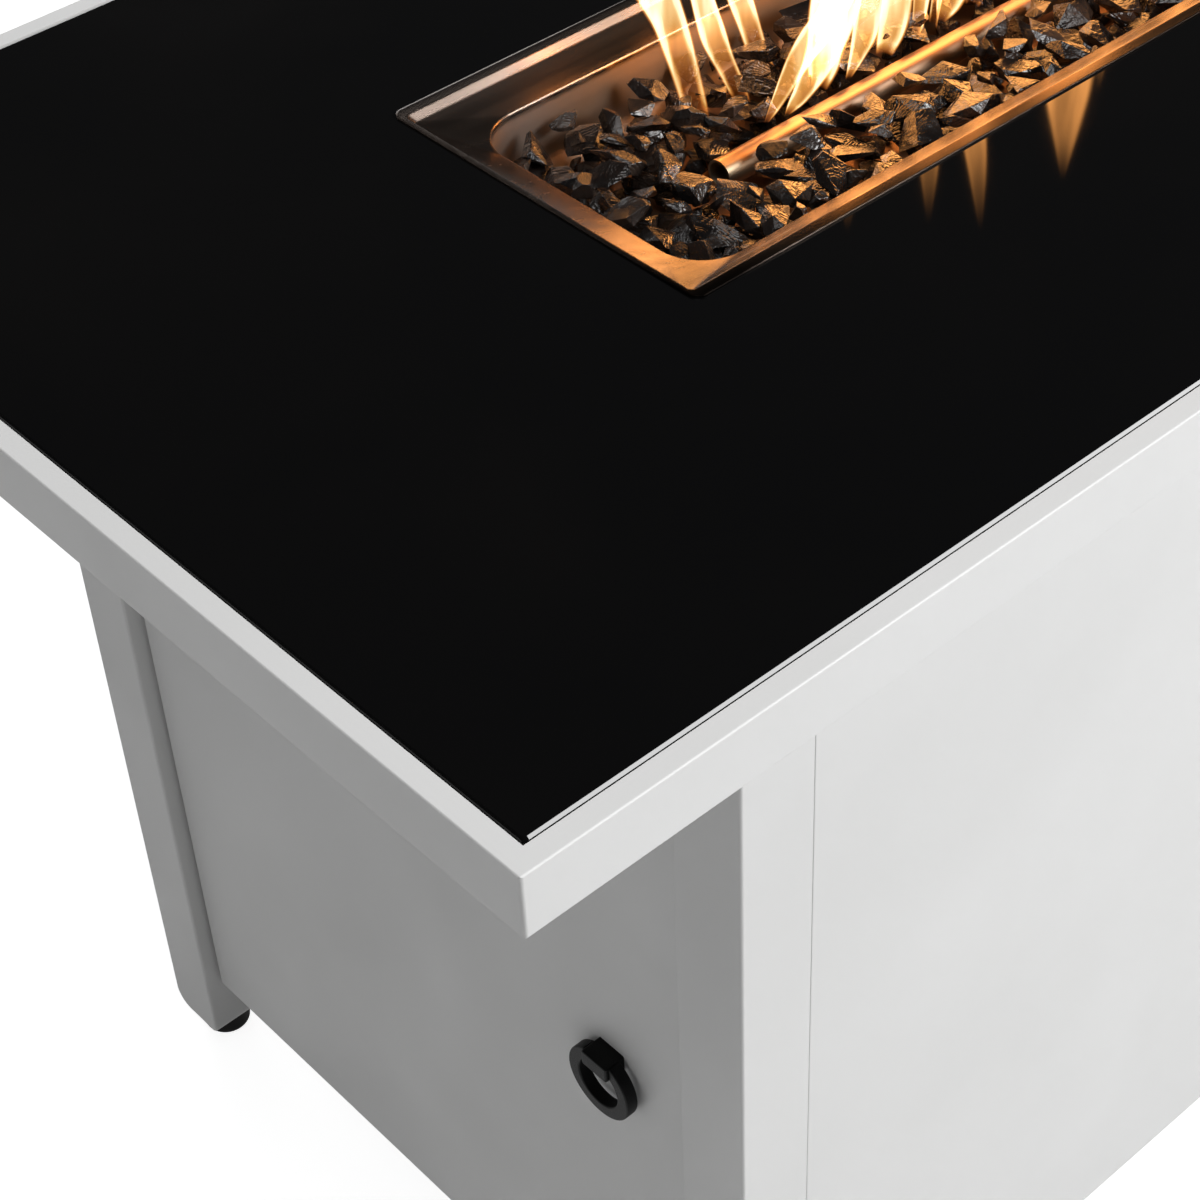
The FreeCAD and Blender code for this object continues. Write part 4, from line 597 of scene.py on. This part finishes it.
def lump(dice, half_sizes):
    """One fractured lump round the origin: a hull of scattered points, cut by fracture planes."""
    shape = bmesh.new()
    for _ in range(hull_points):
        aim = any_way(dice)
        reach = dice.uniform(*hull_reach)
        shape.verts.new([aim[n] * half_sizes[n] * reach for n in range(3)])
    bmesh.ops.convex_hull(shape, input=shape.verts)
    loose = [v for v in shape.verts if not v.link_faces]
    bmesh.ops.delete(shape, geom=loose, context="VERTS")
    for _ in range(fractures):
        aim = any_way(dice)
        support = math.sqrt(sum((aim[n] * half_sizes[n]) ** 2 for n in range(3)))
        cut = bmesh.ops.bisect_plane(
            shape,
            geom=shape.verts[:] + shape.edges[:] + shape.faces[:],
            plane_co=aim * support * dice.uniform(*fracture_reach),
            plane_no=aim,
            clear_outer=True,
        )
        rim = [e for e in cut["geom_cut"] if isinstance(e, bmesh.types.BMEdge)]
        bmesh.ops.contextual_create(shape, geom=rim)
    bmesh.ops.dissolve_limit(shape, angle_limit=flat_angle, verts=shape.verts, edges=shape.edges)
    bmesh.ops.recalc_face_normals(shape, faces=shape.faces)
    bmesh.ops.bevel(
        shape,
        geom=shape.edges[:],
        offset=min(half_sizes) * arris_share,
        segments=1,
        affect="EDGES",
        clamp_overlap=True,
    )
    return shape


def pour_lumps():
    """Lumps dropped one by one onto the lowest of a few random spots, until none fits under the top."""
    dice = random.Random(pour_seed)
    columns = int(2 * bed_half_x / cell)
    rows = int(2 * bed_half_y / cell)
    xs = (np.arange(columns) + 0.5) * cell - bed_half_x
    ys = (np.arange(rows) + 0.5) * cell - bed_half_y
    grid_x, grid_y = np.meshgrid(xs, ys, indexing="ij")
    level = np.full((columns, rows), pan_floor)
    over_tube = (np.abs(grid_x) < tube_half_length + tube_end_room) & (np.abs(grid_y) < tube_keep_out)
    from_mouth = np.hypot(grid_x + tube_half_length, grid_y)
    at_mouth = (from_mouth < mouth_keep_out) & (grid_x < -tube_half_length + mouth_depth)
    low_x, high_x, low_y, high_y = probe_box
    at_probes = (grid_x > low_x) & (grid_x < high_x) & (grid_y > low_y) & (grid_y < high_y)
    closed = over_tube | at_mouth | at_probes
    verts, faces = [], []
    for wanted, top_above, (room_x, room_y), lengths, widths, heights in layers:
        misses = 0
        laid = 0
        while laid < wanted and misses < most_misses:
            half = (dice.uniform(*lengths), dice.uniform(*widths), dice.uniform(*heights))
            turn = dice.uniform(0, math.pi)
            best = None
            for _ in range(tries):
                x = dice.uniform(half[1] - room_x, room_x - half[1])
                y = dice.uniform(half[1] - room_y, room_y - half[1])
                along = (grid_x - x) * math.cos(turn) + (grid_y - y) * math.sin(turn)
                across = (grid_y - y) * math.cos(turn) - (grid_x - x) * math.sin(turn)
                inside = (along / half[0]) ** 2 + (across / half[1]) ** 2
                under = inside < plan_share
                if (under & closed).any():
                    continue
                reach_x = math.hypot(half[0] * math.cos(turn), half[1] * math.sin(turn))
                reach_y = math.hypot(half[0] * math.sin(turn), half[1] * math.cos(turn))
                if abs(x) + reach_x > room_x or abs(y) + reach_y > room_y:
                    continue
                belly = half[2] * np.sqrt(np.clip(1 - inside[under], 0, 1))
                rest = float(np.quantile(level[under] + belly, level_share))
                if best is None or rest < best[0]:
                    best = (rest, x, y, under, belly)
            if best is None or best[0] + half[2] > pan_floor + top_above:
                misses += 1
                continue
            rest, x, y, under, belly = best
            rest = max(rest, pan_floor + half[2] * thickness_share)
            level[under] = np.maximum(level[under], rest + belly * thickness_share)
            shape = lump(dice, half)
            roll = Matrix.Rotation(dice.uniform(-most_roll, most_roll), 4, "X")
            pitch = Matrix.Rotation(dice.uniform(-most_pitch, most_pitch), 4, "Y")
            tilt = roll @ pitch
            shape.transform(Matrix.Translation((x, y, rest)) @ Matrix.Rotation(turn, 4, "Z") @ tilt)
            lowest = min(v.co.z for v in shape.verts)
            highest = max(v.co.z for v in shape.verts)
            shift = max(pan_floor + least_gap - lowest, 0) - max(highest - bed_top, 0)
            first = len(verts)
            shape.verts.index_update()
            verts += [v.co + Vector((0, 0, shift)) for v in shape.verts]
            faces += [[first + v.index for v in f.verts] for f in shape.faces]
            shape.free()
            laid += 1
    return verts, faces


verts, faces = pour_lumps()
mesh = bpy.data.meshes.new("fire_glass_lumps")
mesh.from_pydata(verts, [], faces)
mesh.validate()
lumps = put("fire_glass_lumps", mesh)

fire_glass, tree, shader = new_finish("Black fire glass", 0.3, specular=0.6)
place_xyz = node(tree, "TexCoord").outputs["Object"]
pieces = node(tree, "TexNoise", {"Vector": place_xyz, "Scale": 60.0, "Detail": 2.0})
jet_stops = [(0.35, (0.006, 0.005, 0.005)), (0.6, (0.020, 0.013, 0.010)), (0.8, (0.050, 0.031, 0.020))]
dye(tree, shader, pieces.outputs[0], *jet_stops)
gloss(tree, shader, pieces.outputs[0], 0.12, 0.36, 0.3, 0.75)
bent = node(tree, "TexNoise", {"Vector": place_xyz, "Scale": 45.0, "Detail": 1.0})
pushed = node(
    tree,
    "VectorMath",
    {0: place_xyz, 1: bent.outputs["Color"], 2: (0.03, 0.03, 0.03)},
    operation="MULTIPLY_ADD",
)
shells = node(
    tree, "TexWave", {"Vector": pushed.outputs[0], "Scale": 55.0, "Distortion": 6.0, "Detail": 2.0}
)
chips = node(tree, "TexNoise", {"Vector": place_xyz, "Scale": 170.0, "Detail": 3.0, "Roughness": 0.62})
shell_weight, chip_weight = 0.35, 2.6
rippled = node(tree, "Math", {0: shells.outputs["Fac"], 1: shell_weight}, operation="MULTIPLY").outputs[0]
broken = node(tree, "Math", {0: chips.outputs[0], 1: chip_weight, 2: rippled}, operation="MULTIPLY_ADD")
relief(tree, shader, broken.outputs[0], 0.0012, 0.34)
mesh.materials.append(fire_glass)
wear(fire_glass, "fire_glass")
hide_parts("fire_glass")
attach(lumps, "root")


# Flames
# Thin sheets of burning gas that rise from the ports, cream at the rims and clear orange inside.
# They aren't part of the table: they stand on the stage, for the likeness to the photograph.
flame_facing = math.radians(48.5)
flame_across = Vector((math.sin(flame_facing), -math.cos(flame_facing), 0))
flame_outward = Vector((-flame_across.y, flame_across.x, 0))
flame_belly = 0.3
rows_up, columns_across = 36, 14
smoothing_passes = 5


def rim_curve(points):
    """A smooth line through (sideways, height) points that are given in millimetres."""
    spots = np.array(points) / 1000
    walked = np.linspace(0, len(spots) - 1, rows_up + 1)
    line = np.stack([np.interp(walked, np.arange(len(spots)), spots[:, n]) for n in range(2)], axis=1)
    for _ in range(smoothing_passes):
        line[1:-1] = (line[:-2] + 2 * line[1:-1] + line[2:]) / 4
    return line


def tongue(name, foot, left, right):
    """A sheet of flame between its left and right rims, that bellies out a little between them."""
    left_line = rim_curve(left)
    right_line = rim_curve(right)
    verts, faces, places = [], [], []
    for row in range(rows_up + 1):
        width = abs(right_line[row][0] - left_line[row][0])
        for column in range(columns_across + 1):
            u = column / columns_across
            sideways, height = left_line[row] * (1 - u) + right_line[row] * u
            belly = math.sin(math.pi * u) * width * flame_belly
            off_foot = flame_across * sideways
            verts.append(Vector(foot) + off_foot + flame_outward * belly + Vector((0, 0, height)))
            places.append((u, row / rows_up))
    for row in range(rows_up):
        for column in range(columns_across):
            first = row * (columns_across + 1) + column
            faces.append((first, first + 1, first + columns_across + 2, first + columns_across + 1))
    mesh = bpy.data.meshes.new(name)
    mesh.from_pydata(verts, [], faces)
    layer = mesh.uv_layers.new(name="UVMap")
    for loop in mesh.loops:
        layer.data[loop.index].uv = places[loop.vertex_index]
    for face in mesh.polygons:
        face.use_smooth = True
    return put(name, mesh)


licks_per_metre = (110.0, 110.0, 16.0)
rim_wander, lick_range, streak_range = 0.16, (0.25, 0.75), (0.65, 1.3)
# bands across the sheet, from its middle at 0 to its sides at 1, and along it, from its foot to its tip
edge_band, rim_band = (1.0, 0.78), (0.38, 0.82)
body_band, foot_band, tip_band = (0.12, 0.62), (0.0, 0.10), (1.0, 0.6)
ember, orange, straw_glow, cream = (1.0, 0.22, 0.03), (1.0, 0.43, 0.09), (1.0, 0.67, 0.28), (1.0, 0.82, 0.48)
mirror_boost = 6.0
mirror_colour = (1.0, 0.40, 0.10, 1.0)


def flame_finish(name, rim, foot_body, high_body, strength):
    """Glow that adds to what is behind it: rim at the sheet's sides, a body that fills up with height.

    Its mirror images are stronger and redder than the flame itself, as in the photograph.
    """
    made = bpy.data.materials.new(name)
    made.use_nodes = True
    tree = made.node_tree
    tree.nodes.clear()
    sheet = node(tree, "UVMap")
    apart = node(tree, "SeparateXYZ", {"Vector": sheet.outputs[0]}).outputs
    place_xyz = node(tree, "TexCoord").outputs["Object"]
    drawn = node(tree, "VectorMath", {0: place_xyz, 1: licks_per_metre}, operation="MULTIPLY")
    lick_shape = {"Vector": drawn.outputs[0], "Scale": 1.0, "Detail": 2.0, "Roughness": 0.5}
    licks = node(tree, "TexNoise", lick_shape).outputs[0]
    wander = spread(tree, licks, -rim_wander, rim_wander, *lick_range)
    side = node(tree, "Math", {0: apart["X"], 1: 2.0, 2: -1.0}, operation="MULTIPLY_ADD")
    off_middle = node(tree, "Math", {0: side.outputs[0]}, operation="ABSOLUTE").outputs[0]
    wandered = node(tree, "Math", {0: off_middle, 1: wander}, operation="ADD").outputs[0]
    edge = spread(tree, off_middle, 0.0, 1.0, *edge_band, "SMOOTHSTEP")
    rim_light = spread(tree, wandered, 0.0, rim, *rim_band, "SMOOTHSTEP")
    body = spread(tree, apart["Y"], foot_body, high_body, *body_band, "SMOOTHSTEP")
    streaks = spread(tree, licks, *streak_range, *noise_range)
    streaked = node(tree, "Math", {0: body, 1: streaks}, operation="MULTIPLY")
    glow = node(tree, "Math", {0: streaked.outputs[0], 1: rim_light}, operation="ADD").outputs[0]
    lit_foot = spread(tree, apart["Y"], 0.0, 1.0, *foot_band)
    lit_tip = spread(tree, apart["Y"], 0.0, 1.0, *tip_band, "SMOOTHSTEP")
    for factor in (edge, lit_foot, lit_tip):
        glow = node(tree, "Math", {0: glow, 1: factor}, operation="MULTIPLY").outputs[0]
    colour = ramp(tree, glow, [(0.0, ember), (0.5, orange), (0.85, straw_glow), (1.0, cream)])
    mirrored = node(tree, "LightPath").outputs["Is Glossy Ray"]
    boost = spread(tree, mirrored, strength, strength * mirror_boost)
    power = node(tree, "Math", {0: glow, 1: boost}, operation="MULTIPLY")
    shown = node(tree, "Mix", {0: mirrored, 6: colour, 7: mirror_colour}, data_type="RGBA")
    light = node(tree, "Emission", {"Color": shown.outputs[2], "Strength": power.outputs[0]})
    clear = node(tree, "BsdfTransparent")
    both = node(tree, "AddShader", {0: light.outputs[0], 1: clear.outputs[0]})
    end = node(tree, "OutputMaterial")
    tree.links.new(both.outputs[0], end.inputs["Surface"])
    return made


thin_flame = flame_finish("Thin flame", rim=0.75, foot_body=0.10, high_body=0.90, strength=1.2)
full_flame = flame_finish("Full flame", rim=0.55, foot_body=0.50, high_body=1.10, strength=1.35)
flame_list = [
    # finish, foot in metres, left rim and right rim in millimetres from the foot
    (
        thin_flame, (-0.157, 0.036, 0.602),
        [(-12, 3), (-15, 14), (-18, 25), (-22, 38), (-25, 48), (-31, 58), (-38, 76), (-40, 100), (-34, 120)],
        [(0, 0), (-1, 9), (-4, 25), (-7, 42), (-11, 58), (-15, 72), (-20, 90), (-27, 106), (-32, 120)],
    ),
    (
        thin_flame, (-0.135, 0.032, 0.602),
        [(-9, 3), (-12, 9), (-16, 18), (-23, 31), (-26, 47), (-29, 64), (-32, 86), (-33, 112)],
        [(0, 0), (-3, 12), (-8, 25), (-11, 39), (-15, 51), (-20, 70), (-26, 92), (-32, 112)],
    ),
    (
        thin_flame, (-0.105, 0.047, 0.602),
        [(-11, 1), (-14, 9), (-18, 22), (-22, 33), (-26, 48), (-30, 70), (-31, 92)],
        [(0, 0), (-2, 4), (-6, 20), (-9, 33), (-15, 54), (-23, 75), (-30, 92)],
    ),
    (
        full_flame, (-0.148, 0.011, 0.607),
        [(0, 0), (5, 18), (10, 34), (16, 47), (25, 58), (30, 76), (34, 96), (38, 118)],
        [(2, 0), (7, 6), (13, 16), (22, 30), (33, 46), (42, 64), (44, 90), (39, 118)],
    ),
    (
        full_flame, (-0.137, 0.009, 0.607),
        [(0, 0), (1, 6), (4, 14), (7, 26), (10, 42), (16, 62), (24, 84), (30, 104)],
        [(2, 0), (9, 5), (16, 14), (23, 24), (31, 42), (36, 62), (36, 84), (31, 104)],
    ),
    (
        full_flame, (-0.112, 0.010, 0.607),
        [(-6, 3), (-8, 16), (-8, 34), (-6, 54), (-2, 74), (2, 96)],
        [(2, 1), (8, 12), (11, 28), (12, 48), (10, 72), (3, 96)],
    ),
    (
        full_flame, (-0.096, 0.010, 0.607),
        [(-1, 0), (0, 10), (1, 22), (2, 38), (4, 58), (8, 84), (12, 108)],
        [(2, 1), (8, 11), (14, 22), (16, 36), (17, 56), (16, 84), (13, 108)],
    ),
    (
        full_flame, (-0.070, 0.012, 0.607),
        [(-4, 1), (-4, 10), (-3, 22), (-1, 40), (2, 66), (8, 92), (12, 118)],
        [(4, 0), (9, 9), (12, 19), (13, 36), (14, 62), (15, 92), (13, 118)],
    ),
    (
        full_flame, (-0.046, 0.012, 0.607),
        [(-4, 3), (-4, 14), (-4, 32), (-5, 60), (-4, 90), (2, 126), (8, 162)],
        [(0, 0), (3, 10), (5, 28), (8, 56), (12, 88), (13, 126), (9, 162)],
    ),
    (
        thin_flame, (-0.036, 0.012, 0.607),
        [(-3, 4), (-2, 20), (0, 40), (4, 64), (8, 90)],
        [(1, 0), (3, 14), (7, 36), (10, 62), (9, 90)],
    ),
    (
        full_flame, (-0.028, 0.013, 0.607),
        [(-4, 1), (-5, 12), (-4, 34), (-1, 64), (6, 100), (15, 140), (23, 176)],
        [(0, 0), (7, 6), (12, 16), (16, 40), (20, 84), (25, 134), (24, 176)],
    ),
    (
        thin_flame, (-0.008, 0.012, 0.607),
        [(-5, 2), (-5, 18), (-3, 40), (1, 64), (5, 92)],
        [(2, 0), (7, 12), (9, 34), (9, 62), (6, 92)],
    ),
    (
        thin_flame, (0.012, 0.011, 0.607),
        [(-4, 0), (-5, 16), (-3, 38), (0, 66), (5, 98)],
        [(3, 0), (8, 14), (9, 38), (9, 68), (6, 98)],
    ),
    (
        thin_flame, (0.034, 0.012, 0.607),
        [(-5, 0), (-6, 20), (-4, 46), (0, 74), (4, 104)],
        [(3, 0), (7, 18), (9, 44), (8, 74), (5, 104)],
    ),
    (
        full_flame, (0.056, 0.012, 0.607),
        [(-9, 0), (-13, 26), (-14, 60), (-12, 96), (-6, 130), (2, 160), (8, 184)],
        [(4, 0), (14, 22), (20, 56), (22, 96), (20, 130), (14, 160), (9, 184)],
    ),
    (
        thin_flame, (0.088, 0.011, 0.607),
        [(-3, 0), (-6, 24), (-6, 56), (-4, 92), (0, 122), (1, 146)],
        [(4, 0), (8, 22), (9, 54), (8, 90), (5, 122), (2, 146)],
    ),
    (
        full_flame, (0.112, 0.012, 0.607),
        [(-6, 0), (-9, 20), (-9, 44), (-6, 70), (-1, 104)],
        [(4, 0), (9, 18), (11, 42), (9, 70), (0, 104)],
    ),
    (
        thin_flame, (0.136, 0.011, 0.607),
        [(-4, 0), (-6, 18), (-6, 42), (-3, 66), (1, 90)],
        [(4, 0), (8, 16), (9, 40), (7, 66), (2, 90)],
    ),
    (
        thin_flame, (0.158, 0.012, 0.607),
        [(-5, 0), (-7, 16), (-6, 36), (-3, 56), (2, 78)],
        [(3, 0), (7, 14), (8, 34), (7, 56), (3, 78)],
    ),
]
for number, (finish, foot, left, right) in enumerate(flame_list):
    made = tongue(f"flame_{number + 1}", foot, left, right)
    made.data.materials.append(finish)


# Studio
# A pale floor, a soft lamp to the right of the camera that lights the long side, a weaker one above,
# faint ones at the door end and behind, and the warm light that the flames throw on the pan. The glass
# mirrors the flames themselves, so it is left out of that light.
def area_lamp(name, spot, turn, size, power, colour=(1, 1, 1)):
    """A soft rectangular lamp at a spot, turned by a quaternion."""
    lamp = bpy.data.lights.new(name, "AREA")
    lamp.shape = "RECTANGLE"
    lamp.size, lamp.size_y = size
    lamp.energy = power
    lamp.color = colour
    made = put(name, lamp)
    made.location = spot
    made.rotation_euler = turn.to_euler()
    return made


lit_middle = Vector((0, 0, 0.4))
for name, side, reach, size, power in (
    ("long_side_lamp", (0.36, -0.70, 0.55), 3.2, (1.6, 1.1), 87.0),
    ("top_lamp", (-0.25, -0.16, 0.955), 3.0, (1.2, 1.2), 21.5),
    ("door_end_lamp", (-0.95, 0.10, 0.20), 3.2, (1.4, 1.4), 3.2),
    ("control_side_lamp", (0.30, 0.92, 0.24), 3.2, (1.4, 1.4), 16.0),
):
    direction = Vector(side).normalized()
    area_lamp(name, lit_middle + direction * reach, direction.to_track_quat("Z", "Y"), size, power)

not_glowing = bpy.data.collections.new("not_glowing")
not_glowing.objects.link(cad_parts["glass_top"])
not_glowing.collection_objects[0].light_linking.link_state = "EXCLUDE"
flame_glow_colour = (1.0, 0.43, 0.12)
for name, spot, aim, size, power in (
    ("flame_glow_near", (0.055, 0.004, 0.664), (0.0, -0.50, -0.87), (0.30, 0.030), 0.17),
    ("flame_glow_far", (0.0, 0.022, 0.668), (0.0, 0.75, -0.66), (0.36, 0.030), 0.07),
    ("flame_glow_end", (-0.150, 0.012, 0.668), (-0.40, 0.0, -0.92), (0.05, 0.030), 0.008),
):
    made = area_lamp(name, spot, Vector(aim).to_track_quat("-Z", "Y"), size, power, flame_glow_colour)
    made.visible_camera = False
    made.light_linking.receiver_collection = not_glowing

floor_half = 6.0
floor_below_feet = 0.0005
floor_mirrored, floor_seen = 0.6, 0.90
mesh = bpy.data.meshes.new("studio_floor")
signs = ((-1, -1), (1, -1), (1, 1), (-1, 1))
mesh.from_pydata([(x * floor_half, y * floor_half, 0) for x, y in signs], [], [(0, 1, 2, 3)])
floor = put("studio_floor", mesh)
floor.location.z = -floor_below_feet
paper = bpy.data.materials.new("Studio paper")
paper.use_nodes = True
tree = paper.node_tree
tree.nodes.clear()
path = node(tree, "LightPath")
mirrored = node(tree, "Math", {0: path.outputs["Is Glossy Ray"], 1: floor_mirrored}, operation="MULTIPLY")
shown = node(tree, "Mix", {0: path.outputs["Is Camera Ray"], 2: mirrored.outputs[0], 3: floor_seen})
matt = node(tree, "BsdfDiffuse", {"Color": (0.5, 0.5, 0.5, 1.0)})
light = node(tree, "Emission", {"Color": (1.0, 1.0, 1.0, 1.0), "Strength": shown.outputs[0]})
both = node(tree, "AddShader", {0: matt.outputs[0], 1: light.outputs[0]})
end = node(tree, "OutputMaterial")
tree.links.new(both.outputs[0], end.inputs["Surface"])
mesh.materials.append(paper)

world = bpy.data.worlds.new("Studio")
bpy.context.scene.world = world
world.use_nodes = True
tree = world.node_tree
tree.nodes.clear()
path = node(tree, "LightPath")
way = node(tree, "TexCoord").outputs["Generated"]
height = node(tree, "SeparateXYZ", {"Vector": way}).outputs["Z"]
# shares of the way from the horizon to the zenith: where each pale band fades out
lit_band, mirrored_band = (0.42, 0.56), (0.02, 0.12)
low_band = spread(tree, height, 1.0, 0.0, *lit_band, "SMOOTHSTEP")
horizon = spread(tree, height, 1.0, 0.0, *mirrored_band, "SMOOTHSTEP")
mirrored_wall = spread(tree, horizon, 0.035, 0.8)
lit_wall = spread(tree, low_band, 0.10, 0.25)
wall = node(tree, "Mix", {0: path.outputs["Is Glossy Ray"], 2: lit_wall, 3: mirrored_wall})
strength = node(tree, "Mix", {0: path.outputs["Is Camera Ray"], 2: wall.outputs[0], 3: 1.0})
backdrop = node(tree, "Background", {"Color": (1.0, 1.0, 1.0, 1.0), "Strength": strength.outputs[0]})
end = node(tree, "OutputWorld")
tree.links.new(backdrop.outputs[0], end.inputs["Surface"])


# Camera
# It looks down on the near corner from about 0.8 m away. Its place, its angles, its lens and the shift
# of the lens are those that the photograph's straight edges give.
camera_spot = (-0.8604, -0.7139, 1.2428)
camera_yaw = math.radians(48.533)
camera_pitch = math.radians(42.693)
camera_roll = math.radians(-2.005)
level_reach = math.cos(camera_pitch)
forward_x, forward_y = math.cos(camera_yaw) * level_reach, math.sin(camera_yaw) * level_reach
forward = Vector((forward_x, forward_y, -math.sin(camera_pitch)))
level_right = Vector((math.sin(camera_yaw), -math.cos(camera_yaw), 0))
level_up = level_right.cross(forward)
right = math.cos(camera_roll) * level_right + math.sin(camera_roll) * level_up
up = math.cos(camera_roll) * level_up - math.sin(camera_roll) * level_right
lens = bpy.data.cameras.new("photo_camera")
lens.sensor_width = 36.0
lens.lens = 79.585
lens.shift_x = -0.05
lens.shift_y = 0.0207
lens.clip_start = 0.05
camera = put("photo_camera", lens)
camera.matrix_world = Matrix.Translation(camera_spot) @ Matrix((right, up, -forward)).transposed().to_4x4()
bpy.context.scene.camera = camera
bpy.context.scene.view_settings.view_transform = "Standard"
